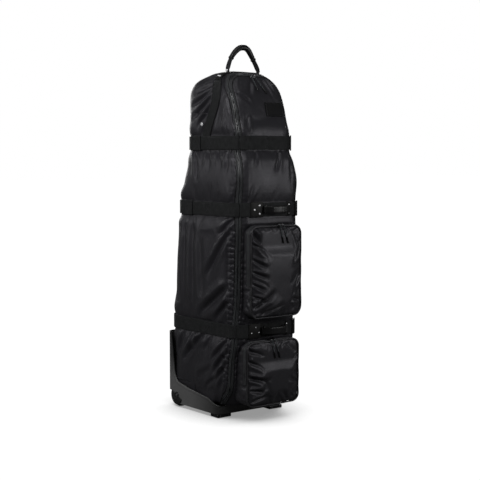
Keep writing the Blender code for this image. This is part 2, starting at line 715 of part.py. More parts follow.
def make_haul_handles():
    """The two grab handles held by riveted plates on the mid and lower straps."""
    for level in ("mid", "lower"):
        z = STRAPS[level]
        surface = section(z)[2] - WEB_END
        left_end, right_end = -0.034, 0.072
        for side, start, end in (("left", -0.090, -0.036), ("right", 0.074, 0.084)):
            plate = place(level + "_plate_" + side,
                          box_mesh("plate", (start, surface - 0.0035, z - 0.027),
                                   (end, surface - GAP, z + 0.027)),
                          "plastic", pivot=FLAP_HINGE)
            bevel(plate, 0.0012, 1)
        axis_y = surface - 0.0110
        pivot = ((left_end + right_end) / 2, axis_y, z)
        steps = 10
        points, radii = [], []
        for k in range(steps + 1):
            t = k / steps
            rise = math.sin(math.pi * t) ** 0.6
            points.append((left_end + (right_end - left_end) * t, axis_y - 0.021 * rise, z))
            radii.append(0.0040 + 0.0058 * rise)
        place(level + "_handle", tube_mesh(level + "_handle", points, radii), "rubber", pivot, smooth=True)


# ---------------------------------------------------------------- zip sliders and their pulls
def make_slider(name, centre, size, pull_start, pull_end):
    """A slider body and the corded pull that swings from it."""
    half = Vector(size) / 2
    centre = Vector(centre)
    slider = place(name + "_slider", box_mesh(name, centre - half, centre + half), "metal", pivot=centre)
    bevel(slider, 0.0012, 1)
    points = [Vector(pull_start).lerp(Vector(pull_end), t) for t in (0.0, 0.1, 0.68, 0.72, 1.0)]
    radii = [0.0014, 0.0016, 0.0016, 0.0028, 0.0024]
    place(name + "_pull", tube_mesh(name + "_pull", points, radii, 1), "rubber", pull_start, smooth=True)


def make_sliders():
    # Across: the middle of each pair, and how far the left and the right pull lean at their ends.
    pocket_pairs = {"upper": (0.018, 0.014, 0.021), "lower": (-0.003, 0.013, 0.019)}
    for level, (width, low, high, face) in POCKETS.items():
        middle, *leans = pocket_pairs[level]
        top = high + ZIP_PROUD + 2 * GAP
        for side, sign, lean in zip(("left", "right"), (-1, 1), leans):
            x = middle + sign * SLIDER_SPACING
            make_slider(level + "_" + side, (x, face + 0.0135, top + 0.0030), (0.009, 0.026, 0.006),
                        (x, face - 0.0040, top + 0.0025), (x + lean, face - 0.0040, top - 0.0640))
    seam_z = OPENING_TOP - 0.016
    middle = -0.002
    for side, sign, lean, drop in (("left", -1, 0.002, 0.043), ("right", 1, 0.026, 0.052)):
        x = middle + sign * SLIDER_SPACING
        y = front_y(x, seam_z)
        make_slider("main_" + side, (x, y - 0.0045, seam_z + 0.0095), (0.010, 0.0075, 0.012),
                    (x, y - 0.0110, seam_z + 0.0060), (x + lean, y - 0.0450, seam_z - drop))


make_body()
make_stiffeners()
make_boot()
make_wheels()
make_straps()
make_side_webbing()
make_pockets()
make_patch()
make_main_zip()
make_top_handle()
make_haul_handles()
make_sliders()
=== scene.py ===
"""Looks of the golf travel case: a tall soft bag on a moulded boot with two wheels and two feet.

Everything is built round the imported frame, in metres, +Z up, with the front at -Y.
"""
import itertools
import math

import bmesh
import bpy
import numpy as np
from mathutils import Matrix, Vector


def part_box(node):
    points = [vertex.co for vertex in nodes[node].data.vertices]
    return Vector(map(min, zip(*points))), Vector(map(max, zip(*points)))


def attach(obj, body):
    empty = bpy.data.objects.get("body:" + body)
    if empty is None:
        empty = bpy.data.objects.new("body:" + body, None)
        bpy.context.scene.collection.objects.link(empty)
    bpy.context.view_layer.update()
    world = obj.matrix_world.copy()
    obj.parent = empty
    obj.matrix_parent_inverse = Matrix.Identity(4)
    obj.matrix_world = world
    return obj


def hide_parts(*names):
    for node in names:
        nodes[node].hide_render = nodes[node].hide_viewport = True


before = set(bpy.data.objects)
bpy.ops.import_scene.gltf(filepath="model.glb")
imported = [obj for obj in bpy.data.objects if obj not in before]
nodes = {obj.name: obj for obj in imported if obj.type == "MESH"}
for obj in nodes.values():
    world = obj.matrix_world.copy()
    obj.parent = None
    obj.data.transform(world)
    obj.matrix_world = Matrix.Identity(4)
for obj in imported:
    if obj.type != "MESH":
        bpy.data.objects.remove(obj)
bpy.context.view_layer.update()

# ---------------------------------------------------------------- the case's form
# Body sections, as the design has them: height, half width at the front and at the back,
# front y, back y, corner radius.
BODY_SECTIONS = np.array([
    (0.045, 0.130, 0.146, -0.118, 0.200, 0.050),
    (0.120, 0.147, 0.155, -0.150, 0.216, 0.050),
    (0.220, 0.150, 0.155, -0.158, 0.222, 0.055),
    (0.298, 0.141, 0.155, -0.182, 0.225, 0.055),
    (0.352, 0.141, 0.155, -0.182, 0.225, 0.055),
    (0.450, 0.149, 0.157, -0.185, 0.219, 0.060),
    (0.600, 0.149, 0.155, -0.188, 0.210, 0.060),
    (0.700, 0.146, 0.152, -0.193, 0.203, 0.060),
    (0.730, 0.142, 0.147, -0.193, 0.193, 0.055),
    (0.784, 0.142, 0.147, -0.193, 0.193, 0.055),
    (0.850, 0.146, 0.148, -0.199, 0.174, 0.060),
    (0.925, 0.136, 0.141, -0.189, 0.153, 0.060),
    (0.965, 0.126, 0.133, -0.176, 0.149, 0.055),
    (1.019, 0.126, 0.133, -0.176, 0.149, 0.055),
    (1.070, 0.129, 0.134, -0.160, 0.152, 0.060),
    (1.130, 0.127, 0.132, -0.144, 0.155, 0.060),
    (1.170, 0.123, 0.129, -0.127, 0.151, 0.055),
    (1.200, 0.115, 0.119, -0.107, 0.139, 0.050),
    (1.225, 0.097, 0.100, -0.084, 0.114, 0.045),
    (1.245, 0.062, 0.064, -0.054, 0.073, 0.035),
    (1.256, 0.020, 0.020, -0.018, 0.022, 0.012),
])
TUB_TOP, DOME_START = 0.160, 1.100
SKIN = 0.004                          # fabric with its padding
BODY_MIDDLE_Y = 0.02
SLOPE_STEP = 0.0015                   # distance over which the body's slopes are measured
AXLE_STEP_Y, AXLE_STEP_Z, AXLE_CORNER = 0.108, 0.104, 0.030
OPENING_SIDE = [(0.134, 0.050), (0.128, 0.450), (0.126, 0.860), (0.113, 1.000), (0.110, 1.100)]
OPENING_BOTTOM, OPENING_TOP, OPENING_RADIUS = 0.050, 1.237, 0.065
SIDE_WEBBING = [              # height and the y of its middle, from the handle down to the upper strap
    (1.222, -0.028), (1.205, -0.036), (1.165, -0.045), (1.122, -0.038), (1.080, -0.018),
    (1.045, 0.000), (1.019, 0.013)]
SEAM_GAP = 0.0010                     # room between the flap and the body
STRAPS = {"upper": 0.992, "mid": 0.757, "lower": 0.325}
WEBBING = 0.050
STRAP_LIFT = 0.0046                   # middle of a strap's thickness off the body
BUCKLE_FRONT, BUCKLE_SPLIT, BUCKLE_BACK = -0.128, -0.102, -0.056
# Each pocket: half width, bottom, top and the y of its face.
POCKETS = {"upper": (0.1125, 0.376, 0.700, -0.2365), "lower": (0.1160, 0.057, 0.288, -0.2200)}
POCKET_BACK = {"upper": -0.176, "lower": -0.135}
PULL_REACH = {"upper": 0.078, "lower": 0.104}     # how far from the middle the pulls hang
POCKET_SWELL = 0.010                  # the most that air pushes a pocket's cloth out
WHEEL_X, WHEEL_Y, WHEEL_RADIUS, WHEEL_WIDTH = 0.1423, 0.170, 0.043, 0.026
BOOT_FRONT, BOOT_BACK, BOOT_RADIUS = -0.083, 0.2365, 0.030
BOOT_HALF_WIDTH = (0.152, 0.163)      # at its front and at its back
HANDLE_Y, HANDLE_PIVOT_Z = -0.032, 1.2508


def monotone_curve(knots, values, at):
    """A smooth curve through rows of values that never swings past them."""
    step = np.diff(knots)[:, None]
    slope = np.diff(values, axis=0) / step
    tangent = np.zeros_like(values)
    tangent[0], tangent[-1] = slope[0], slope[-1]
    first, second = 2 * step[1:] + step[:-1], step[1:] + 2 * step[:-1]
    with np.errstate(divide="ignore", invalid="ignore"):
        mean = (first + second) / (first / slope[:-1] + second / slope[1:])
    tangent[1:-1] = np.where(slope[:-1] * slope[1:] > 0, mean, 0.0)
    k = np.clip(np.searchsorted(knots, at, side="right") - 1, 0, len(knots) - 2)
    h = step[k]
    t = ((at - knots[k])[:, None]) / h
    return ((1 + 2 * t) * (1 - t) ** 2 * values[k] + t * (1 - t) ** 2 * h * tangent[k]
            + t * t * (3 - 2 * t) * values[k + 1] + t * t * (t - 1) * h * tangent[k + 1])


PROFILE_LENGTH = np.concatenate([[0.0], np.cumsum(np.hypot(
    np.diff(BODY_SECTIONS[:, 0]), np.diff(BODY_SECTIONS[:, 1])))])
PROFILE_STEPS = np.linspace(0.0, PROFILE_LENGTH[-1], 1200)
PROFILE = monotone_curve(PROFILE_LENGTH, BODY_SECTIONS, PROFILE_STEPS)


def section(z):
    """Half widths, front, back and corner radius at a height."""
    return [np.interp(z, PROFILE[:, 0], PROFILE[:, k]) for k in range(1, 6)]


def heights_between(low, high, spacing):
    """Heights evenly spaced along the body's outline, both ends included."""
    start, end = (np.interp(z, PROFILE[:, 0], PROFILE_STEPS) for z in (low, high))
    count = max(2, int(round((end - start) / spacing)) + 1)
    return np.interp(np.linspace(start, end, count), PROFILE_STEPS, PROFILE[:, 0])


def front_y(x, z):
    """The front's y at a place on it."""
    width, _, front, _, radius = section(z)
    over = np.clip(np.abs(x) - (width - radius), 0.0, radius * 0.98)
    return front + radius - np.sqrt(radius * radius - over * over)


def side_x(y, z):
    """How far the sides are from the middle at a place on them."""
    width_front, width_back, front, back, radius = section(z)
    start, end = front + radius, back - radius
    t = np.clip((y - start) / (end - start), 0.0, 1.0)
    width = width_front + (width_back - width_front) * t
    over = np.clip(np.maximum(start - y, y - end), 0.0, radius * 0.98)
    return width - radius + np.sqrt(radius * radius - over * over)


def opening_half_width(z):
    """Half the opening's width at a height, up its sides and round its arch."""
    z = np.asarray(z, float)
    side = np.interp(z, [p[1] for p in OPENING_SIDE], [p[0] for p in OPENING_SIDE])
    centre_z = OPENING_TOP - OPENING_RADIUS
    inner = OPENING_SIDE[-1][0] - OPENING_RADIUS
    rise = np.clip(z - centre_z, 0.0, OPENING_RADIUS)
    return np.where(z > centre_z, inner + np.sqrt(OPENING_RADIUS ** 2 - rise ** 2), side)


def opening_path(grow, spacing=0.006):
    """Points (x, z) round the opening, from its lower left corner up and over."""
    right = [(width + grow, z) for width, z in OPENING_SIDE]
    radius = OPENING_RADIUS + grow
    centre = (right[-1][0] - radius, OPENING_TOP + grow - radius)
    right += [(centre[0] + radius * math.cos(a), centre[1] + radius * math.sin(a))
              for a in np.linspace(0, math.pi / 2, 24)]
    path = np.array([(-x, z) for x, z in right] + right[::-1])
    path[0, 1] = path[-1, 1] = OPENING_BOTTOM + 0.006
    return resample(path, spacing)


def distances(path):
    """How far along a path each of its points is."""
    return np.concatenate([[0.0], np.cumsum(np.linalg.norm(np.diff(path, axis=0), axis=1))])


def spread(path, count):
    """The same path with a given number of points, evenly spaced."""
    path = np.asarray(path, float)
    along = distances(path)
    at = np.linspace(0.0, along[-1], count)
    return np.stack([np.interp(at, along, path[:, k]) for k in range(path.shape[1])], axis=1)


def resample(path, spacing):
    """The same path with points about a given distance apart."""
    return spread(path, max(2, int(round(distances(np.asarray(path, float))[-1] / spacing)) + 1))


def arc(x, y, radius, first, last, count):
    """Points round part of a circle, between two angles in degrees."""
    angles = np.radians(np.linspace(first, last, count))
    return np.stack([x + radius * np.cos(angles), y + radius * np.sin(angles)], axis=1)


def on_front(x, z):
    """Points on the front and the directions out of it."""
    x, z = np.asarray(x, float), np.asarray(z, float)
    h = SLOPE_STEP
    slope_x = (front_y(x + h, z) - front_y(x - h, z)) / (2 * h)
    slope_z = (front_y(x, z + h) - front_y(x, z - h)) / (2 * h)
    out = np.stack([slope_x, -np.ones_like(slope_x), slope_z], axis=-1)
    return np.stack([x, front_y(x, z), z], axis=-1), unit(out)


def on_side(sign, y, z):
    """Points on the left (-1) or right (+1) side and the directions out of it."""
    y, z = np.asarray(y, float), np.asarray(z, float)
    h = SLOPE_STEP
    slope_y = (side_x(y + h, z) - side_x(y - h, z)) / (2 * h)
    slope_z = (side_x(y, z + h) - side_x(y, z - h)) / (2 * h)
    out = np.stack([sign * np.ones_like(slope_y), -slope_y, -slope_z], axis=-1)
    return np.stack([sign * side_x(y, z), y, z], axis=-1), unit(out)


def unit(vectors):
    """Vectors made one long."""
    return vectors / np.maximum(np.linalg.norm(vectors, axis=-1, keepdims=True), 1e-9)


def body_ring(z, off):
    """The outline a distance off the body at a height, from the front's middle round by the left."""
    width_front, width_back, front, back, radius = (float(v) for v in section(z))
    width_front, width_back, radius = width_front + off, width_back + off, radius + off
    front, back = front - off, back + off
    left = np.concatenate([
        [(0.0, front)],
        arc(-width_front + radius, front + radius, radius, 180, 270, 40)[::-1],
        arc(-width_back + radius, back - radius, radius, 90, 180, 40)[::-1],
        [(0.0, back)],
    ])
    whole = np.concatenate([left, left[-2::-1] * (-1, 1)])
    return resample(whole, 2 * np.abs(whole[:, 0]).max() / 1400 * 3)


# ---------------------------------------------------------------- numbers that look random
def value_noise(points, seed=0):
    """Smooth noise from -1 to 1 at rows of points."""
    cell = np.floor(points).astype(np.int64)
    part = points - cell
    ease = part * part * part * (part * (part * 6 - 15) + 10)
    total = np.zeros(points.shape[:-1])
    for corner in itertools.product((0, 1), repeat=3):
        c = cell + corner
        key = (c[..., 0] * 73856093) ^ (c[..., 1] * 19349663) ^ (c[..., 2] * 83492791) ^ (seed * 15485863)
        key = ((key ^ (key >> 13)) * 1274126177) & 0x7FFFFFFF
        key = key ^ (key >> 15)
        weight = np.prod(np.where(corner, ease, 1 - ease), axis=-1)
        total += ((key & 0xFFFF) / 32767.5 - 1.0) * weight
    return total


def layered_noise(points, seed=0, layers=3):
    """Noise with finer layers laid over it."""
    total, size = 0.0, 1.0
    for k in range(layers):
        total = total + value_noise(points * 2.03 ** k + 17.3 * k, seed + k) * size
        size *= 0.5
    return total


def bump(distance, width):
    """One at distance zero, falling smoothly to nothing on both sides."""
    return np.exp(-(distance / width) ** 2)


def smooth_step(low, high, value):
    """Rises smoothly from 0 at low to 1 at high."""
    t = np.clip((value - low) / (high - low), 0.0, 1.0)
    return t * t * (3 - 2 * t)


# ---------------------------------------------------------------- meshes from grids and sweeps
def add_mesh(name, vertices, faces, smooth=True, sharp_angle=None):
    mesh = bpy.data.meshes.new(name)
    mesh.from_pydata(np.asarray(vertices, float).reshape(-1, 3).tolist(), [], faces)
    mesh.validate()
    piece = bpy.data.objects.new(name, mesh)
    bpy.context.scene.collection.objects.link(piece)
    if smooth:
        mesh.shade_smooth()
        if sharp_angle:
            mesh.set_sharp_from_angle(angle=math.radians(sharp_angle))
    return piece


def grid_faces(rows, columns, wrap=False, start=0):
    """Faces of a grid of points; wrap joins its last column to its first."""
    faces = []
    last = columns if wrap else columns - 1
    for r in range(rows - 1):
        for c in range(last):
            d = (c + 1) % columns
            faces.append((start + r * columns + c, start + r * columns + d,
                          start + (r + 1) * columns + d, start + (r + 1) * columns + c))
    return faces


def loop_faces(rows, columns):
    """Faces of a grid that is closed both ways."""
    last = (rows - 1) * columns
    return grid_faces(rows, columns, wrap=True) + [
        (last + c, last + (c + 1) % columns, (c + 1) % columns, c) for c in range(columns)]


def grid_normals(grid, outward):
    """Directions out of a grid of points, on the side where outward points."""
    across = np.gradient(grid, axis=1)
    along = np.gradient(grid, axis=0)
    normal = unit(np.cross(across, along))
    return np.where((normal * outward).sum(-1, keepdims=True) < 0, -normal, normal)


def refine(grid):
    """Twice as many points each way, on smooth curves through the old ones."""
    for _ in range(2):
        before = np.concatenate([2 * grid[:1] - grid[1:2], grid[:-1]])
        after = np.concatenate([grid[1:], 2 * grid[-1:] - grid[-2:-1]])
        middle = (9 * (grid + after) - (before + np.concatenate([after[1:], after[-1:]]))) / 16
        doubled = np.empty((2 * len(grid) - 1, *grid.shape[1:]))
        doubled[0::2], doubled[1::2] = grid, middle[:-1]
        grid = np.swapaxes(doubled, 0, 1)
    return grid


def thicken(piece, thickness, inner_material=None):
    """Gives a skin its thickness, inwards."""
    modifier = piece.modifiers.new("thickness", "SOLIDIFY")
    modifier.thickness = thickness
    modifier.offset = -1.0
    if inner_material:
        piece.data.materials.append(inner_material)
        modifier.material_offset = 1
    return piece


def sweep(name, path, outward, outline, closed=False, sharp_angle=50):
    """Pushes an outline along a path.  outline is (across, out) points, or a function of the share
    of the way along that gives them."""
    path = np.asarray(path, float)
    outward = np.broadcast_to(np.asarray(outward, float), path.shape)
    if closed:
        tangent = unit(np.roll(path, -1, axis=0) - np.roll(path, 1, axis=0))
    else:
        tangent = unit(np.gradient(path, axis=0))
    across = unit(np.cross(tangent, outward))
    outward = unit(np.cross(across, tangent))
    count = len(path)
    rings = []
    for k in range(count):
        shape = np.asarray(outline(k / (count - 1)) if callable(outline) else outline, float)
        rings.append(path[k] + shape[:, :1] * across[k] + shape[:, 1:] * outward[k])
    size = len(rings[0])
    if closed:
        faces = loop_faces(count, size)
    else:
        faces = grid_faces(count, size, wrap=True)
        faces.append(tuple(range(size)))
        faces.append(tuple(reversed(range((count - 1) * size, count * size))))
    piece = add_mesh(name, np.concatenate(rings), faces, sharp_angle=sharp_angle)
    fix_normals(piece)
    return piece


def fix_normals(piece):
    """Turns a piece's faces outwards."""
    work = bmesh.new()
    work.from_mesh(piece.data)
    bmesh.ops.recalc_face_normals(work, faces=work.faces)
    work.to_mesh(piece.data)
    work.free()


def circle(radius, steps=12, flatten=1.0):
    """A round outline for sweep."""
    angles = np.linspace(0, 2 * math.pi, steps, endpoint=False)
    return np.stack([radius * np.cos(angles), radius * flatten * np.sin(angles)], axis=1)


def rounded_box_outline(width, height, radius, steps=3, middle=4):
    """A rounded rectangle with extra points along its long sides."""
    corners = [(1, 1, 0), (-1, 1, 90), (-1, -1, 180), (1, -1, 270)]
    points = []
    for sx, sy, start in corners:
        for a in np.radians(np.linspace(start, start + 90, steps)):
            points.append((sx * (width / 2 - radius) + radius * math.cos(a),
                           sy * (height / 2 - radius) + radius * math.sin(a)))
        if sy == sx:
            end = points[-1]
            points += [(end[0] + (-2 * end[0]) * k / (middle + 1), end[1]) for k in range(1, middle + 1)]
    return np.array(points)


def join(name, pieces):
    """Joins pieces into one, which keeps the first one's materials."""
    vertices, faces, start = [], [], 0
    materials = pieces[0].data.materials[:]
    sharp = []
    for piece in pieces:
        mesh = piece.data
        vertices.append(read_points(piece))
        faces += [tuple(v + start for v in polygon.vertices) for polygon in mesh.polygons]
        start += len(mesh.vertices)
        bpy.data.objects.remove(piece)
        bpy.data.meshes.remove(mesh)
    joined = add_mesh(name, np.concatenate(vertices), faces, sharp_angle=45)
    for material in materials:
        joined.data.materials.append(material)
    return joined


def box_piece(name, low, high, edge):
    """A box with rounded edges."""
    low, high = Vector(low), Vector(high)
    work = bmesh.new()
    bmesh.ops.create_cube(work, size=1.0)
    bmesh.ops.scale(work, vec=high - low, verts=work.verts)
    bmesh.ops.translate(work, vec=(low + high) / 2, verts=work.verts)
    bmesh.ops.bevel(work, geom=work.edges[:], offset=edge, segments=3, affect="EDGES", profile=0.5)
    mesh = bpy.data.meshes.new(name)
    work.to_mesh(mesh)
    work.free()
    piece = bpy.data.objects.new(name, mesh)
    bpy.context.scene.collection.objects.link(piece)
    mesh.shade_smooth()
    mesh.set_sharp_from_angle(angle=math.radians(50))
    return piece


def plate_piece(name, outline, thickness, edge, origin, across, up):
    """A flat plate with softened edges: an outline in its own plane, standing out along across x up."""
    outline = np.asarray(outline, float)
    origin, across, up = (np.asarray(v, float) for v in (origin, across, up))
    out = np.cross(across, up)
    centre = outline.mean(0)
    rings = []
    levels = ((0, 0), (0, thickness - edge), (edge * 0.3, thickness - edge * 0.3), (edge, thickness))
    for inset, height in levels:
        shape = centre + (outline - centre) * (1 - inset / np.abs(outline - centre).max(0))
        rings.append(origin + shape[:, :1] * across + shape[:, 1:] * up + out * height)
    size = len(outline)
    faces = grid_faces(len(rings), size, wrap=True)
    faces += [tuple(range(size)), tuple(range((len(rings) - 1) * size, len(rings) * size))]
    piece = add_mesh(name, np.concatenate(rings), faces, sharp_angle=40)
    fix_normals(piece)
    return piece


def dome_studs(name, places, outward, radius, height, steps=12):
    """Low round heads, such as rivets, at places on a surface."""
    vertices, faces = [], []
    for place, out in zip(places, np.broadcast_to(np.asarray(outward, float), (len(places), 3))):
        out = unit(out)
        side = unit(np.cross(out, (0.0, 0.0, 1.0) if abs(out[2]) < 0.9 else (1.0, 0.0, 0.0)))
        up = np.cross(out, side)
        start = len(vertices)
        for share, rise in ((1.0, -0.3), (1.0, 0.35), (0.82, 0.75), (0.45, 0.97)):
            for a in np.linspace(0, 2 * math.pi, steps, endpoint=False):
                vertices.append(np.asarray(place) + radius * share * (math.cos(a) * side + math.sin(a) * up)
                                + out * height * rise)
        faces += grid_faces(4, steps, wrap=True, start=start)
        vertices.append(np.asarray(place) + out * height)
        top, last = len(vertices) - 1, start + 3 * steps
        faces += [(last + k, last + (k + 1) % steps, top) for k in range(steps)]
    piece = add_mesh(name, vertices, faces, sharp_angle=60)
    fix_normals(piece)
    return piece


# ---------------------------------------------------------------- materials
class Shader:
    """Builds one node material, with short names for what repeats."""

    def __init__(self, name, colour, roughness, metallic=0.0, specular=0.5, sheen=0.0, coat=0.0):
        self.material = bpy.data.materials.new(name)
        self.material.use_nodes = True
        self.tree = self.material.node_tree
        self.surface = self.tree.nodes["Principled BSDF"]
        self.colour = colour
        for socket, value in (("Metallic", metallic), ("Specular IOR Level", specular),
                              ("Sheen Weight", sheen), ("Sheen Roughness", 0.45), ("Coat Weight", coat)):
            self.surface.inputs[socket].default_value = value
        self.where = self.add("ShaderNodeTexCoord").outputs["Object"]
        self.normal = None
        self.roughness = roughness

    def add(self, kind, links=(), values=(), **settings):
        node = self.tree.nodes.new(kind)
        for key, value in settings.items():
            setattr(node, key, value)
        for socket, source in dict(links).items():
            self.tree.links.new(source, node.inputs[socket])
        for socket, value in dict(values).items():
            node.inputs[socket].default_value = value
        return node

    def noise(self, scale, detail=3.0, stretch=(1, 1, 1)):
        place = self.add("ShaderNodeMapping", {"Vector": self.where}, {"Scale": stretch})
        return self.add("ShaderNodeTexNoise", {"Vector": place.outputs[0]},
                        {"Scale": scale, "Detail": detail}).outputs["Fac"]

    def threads(self, period):
        """Height of a plain weave whose threads run up and round the case."""
        parts = self.add("ShaderNodeSeparateXYZ", {"Vector": self.where})
        x = self.add("ShaderNodeMath", {0: parts.outputs["X"]}, operation="ABSOLUTE")
        around = self.add("ShaderNodeMath", {0: x.outputs[0], 1: parts.outputs["Y"]}, operation="ADD")
        flat = self.add("ShaderNodeCombineXYZ", {"X": around.outputs[0], "Z": parts.outputs["Z"]})
        turn = 2 * math.pi / 20 / period
        waves = [self.add("ShaderNodeTexWave", {"Vector": flat.outputs[0]}, {"Scale": turn},
                          wave_type="BANDS", bands_direction=direction) for direction in ("X", "Z")]
        return self.add("ShaderNodeMath", {0: waves[0].outputs["Fac"], 1: waves[1].outputs["Fac"]},
                        operation="MULTIPLY").outputs[0]

    def raise_by(self, height, distance, strength=1.0):
        links = {"Height": height}
        if self.normal:
            links["Normal"] = self.normal
        self.normal = self.add("ShaderNodeBump", links,
                               {"Distance": distance, "Strength": strength}).outputs["Normal"]

    def vary(self, fac, dark=0.8, light=1.25, rough=0.06):
        """Lets a height or a noise change the colour and the roughness a little."""
        ramp = self.add("ShaderNodeValToRGB", {"Fac": fac})
        for element, gain in zip(ramp.color_ramp.elements, (dark, light)):
            element.color = (*[min(c * gain, 1.0) for c in self.colour], 1.0)
        ramp.color_ramp.elements[0].position, ramp.color_ramp.elements[1].position = 0.3, 0.7
        self.tree.links.new(ramp.outputs["Color"], self.surface.inputs["Base Color"])
        spread = self.add("ShaderNodeMapRange", {"Value": fac}, {
            "From Min": 0.25, "From Max": 0.75, "To Min": self.roughness + rough,
            "To Max": self.roughness - rough})
        self.tree.links.new(spread.outputs["Result"], self.surface.inputs["Roughness"])

    def done(self):
        if self.normal:
            self.tree.links.new(self.normal, self.surface.inputs["Normal"])
        return self.material


def fabric(name, colour, roughness=0.46, period=0.0013, crinkle=1.0, specular=0.45, sheen=0.02):
    """Plain-woven nylon with a soft shine and small crinkles."""
    shader = Shader(name, colour, roughness, specular=specular, sheen=sheen)
    shader.surface.inputs["Specular Tint"].default_value = (0.96, 0.94, 1.0, 1.0)
    shader.vary(shader.noise(9.0, 5.0, (1, 1, 0.6)), 0.90, 1.12)
    shader.raise_by(shader.threads(period), 0.00016, 0.5)
    shader.raise_by(shader.noise(24.0, 3.0, (1, 1, 0.8)), 0.0020 * crinkle, 0.13)
    shader.raise_by(shader.noise(90.0, 3.0), 0.0005 * crinkle, 0.16)
    return shader.done()


def webbing_weave(name, colour=(0.0085, 0.0092, 0.0098), roughness=0.68):
    """Coarse ribbed webbing."""
    shader = Shader(name, colour, roughness, specular=0.30)
    shader.vary(shader.noise(60.0, 4.0), 0.75, 1.3)
    shader.raise_by(shader.threads(0.0024), 0.0007, 0.8)
    shader.raise_by(shader.noise(500.0, 2.0), 0.0003, 0.5)
    return shader.done()


def moulded(name, colour, roughness=0.42, grain=900.0, depth=0.00025, specular=0.5):
    """Moulded plastic or rubber with a fine leather grain."""
    shader = Shader(name, colour, roughness, specular=specular)
    shader.vary(shader.noise(14.0, 6.0), 0.88, 1.14, 0.05)
    cells = shader.add("ShaderNodeTexVoronoi", {"Vector": shader.where}, {"Scale": grain})
    shader.raise_by(cells.outputs["Distance"], depth, 0.5)
    shader.raise_by(shader.noise(60.0, 3.0), 0.0006, 0.25)
    return shader.done()


def boot_plastic(name):
    """Moulded plastic whose colour holds painted shade: paler low on the sides than at the front corners and up the
    back.
    """
    shader = Shader(name, (0.105, 0.105, 0.105), 0.36)
    # Painted shade: the colour is darkened toward the front corners and higher up the walls, and left pale low at
    # the back.
    parts = shader.add("ShaderNodeSeparateXYZ", {"Vector": shader.where})
    painted_shade_ramps = [shader.add("ShaderNodeMapRange", {"Value": parts.outputs[axis]},
                         {"From Min": low, "From Max": high, "To Min": first, "To Max": last})
              for axis, low, high, first, last in (("Y", -0.072, 0.080, 0.20, 1.0),
                                                   ("Z", 0.110, 0.190, 1.0, 0.30))]
    share = shader.add("ShaderNodeMath", {0: painted_shade_ramps[0].outputs[0], 1: painted_shade_ramps[1].outputs[0]},
                       operation="MULTIPLY")
    grain = shader.add("ShaderNodeMapRange", {"Value": shader.noise(14.0, 6.0)},
                       {"To Min": 0.100, "To Max": 0.145})
    grain_and_painted_shade = shader.add("ShaderNodeMath", {0: share.outputs[0], 1: grain.outputs[0]}, operation="MULTIPLY")
    colour = shader.add("ShaderNodeCombineColor",
                        {channel: grain_and_painted_shade.outputs[0] for channel in ("Red", "Green", "Blue")})
    shader.tree.links.new(colour.outputs[0], shader.surface.inputs["Base Color"])
    shader.surface.inputs["Roughness"].default_value = 0.36
    cells = shader.add("ShaderNodeTexVoronoi", {"Vector": shader.where}, {"Scale": 700.0})
    shader.raise_by(cells.outputs["Distance"], 0.0003, 0.5)
    shader.raise_by(shader.noise(60.0, 3.0), 0.0006, 0.25)
    return shader.done()


def metal(name, colour, roughness, metallic=1.0):
    shader = Shader(name, colour, roughness, metallic=metallic)
    shader.vary(shader.noise(300.0, 4.0), 0.8, 1.1, 0.08)
    shader.raise_by(shader.noise(900.0, 2.0), 0.0001, 0.4)
    return shader.done()


BODY = fabric("body_nylon", (0.0125, 0.0120, 0.0150))
FLAP = fabric("flap_nylon", (0.0135, 0.0131, 0.0158))
POCKET = fabric("pocket_nylon", (0.0135, 0.0131, 0.0155), 0.44)
LINING = fabric("grey_lining", (0.045, 0.045, 0.048), 0.62, 0.0018, 0.6)
PIPING = fabric("piping_cover", (0.017, 0.017, 0.018), 0.40, 0.0010, 0.3)
STRAP = webbing_weave("strap_webbing")
CORD = webbing_weave("pull_cord", (0.060, 0.066, 0.070), 0.5)
TAPE = webbing_weave("zip_tape_weave", (0.034, 0.036, 0.038), 0.50)
# Near-black cord for the zip's outer edges; its colour is painted shadow, for the dark line beside the tape.
SHADOW_CORD = webbing_weave("zip_binding", (0.0035, 0.0035, 0.004), 0.75)
COIL = moulded("zip_coil", (0.045, 0.047, 0.050), 0.34, 2400.0, 0.0001)
THREAD = fabric("stitch_thread", (0.022, 0.022, 0.024), 0.5, 0.0006, 0.2)
# The boot's plastic, with painted shade in its colour.
BOOT_PLASTIC_PAINTED_SHADE = boot_plastic("boot_plastic_grain_painted_shade")
TRIM_PLASTIC = moulded("trim_plastic_grain", (0.013, 0.013, 0.0128), 0.38)
BOARD_PLASTIC = moulded("board_plastic_grain", (0.03, 0.03, 0.03), 0.5)
GRIP_RUBBER = moulded("grip_rubber_grain", (0.0032, 0.0032, 0.0034), 0.34, 1100.0, 0.00015, 0.42)
PLATE_PLASTIC = moulded("plate_plastic_grain", (0.0062, 0.0061, 0.0056), 0.55, 900.0, 0.00025, 0.22)
TYRE_RUBBER = moulded("tyre_rubber_grain", (0.010, 0.010, 0.010), 0.62, 900.0, 0.0003, 0.35)
PATCH_RUBBER = moulded("patch_rubber_grain", (0.0040, 0.0040, 0.0045), 0.66, 1500.0, 0.00015, 0.22)
RIVET_METAL = metal("rivet_nickel", (0.85, 0.85, 0.87), 0.36, 0.45)
DARK_METAL = metal("gunmetal", (0.16, 0.16, 0.165), 0.34)


def show(piece, body, material, replaces=()):
    """Gives a piece its material, its body and the CAD nodes it stands for."""
    if material and not piece.data.materials:
        piece.data.materials.append(material)
    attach(piece, body)
    if replaces:
        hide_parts(*replaces)
    return piece


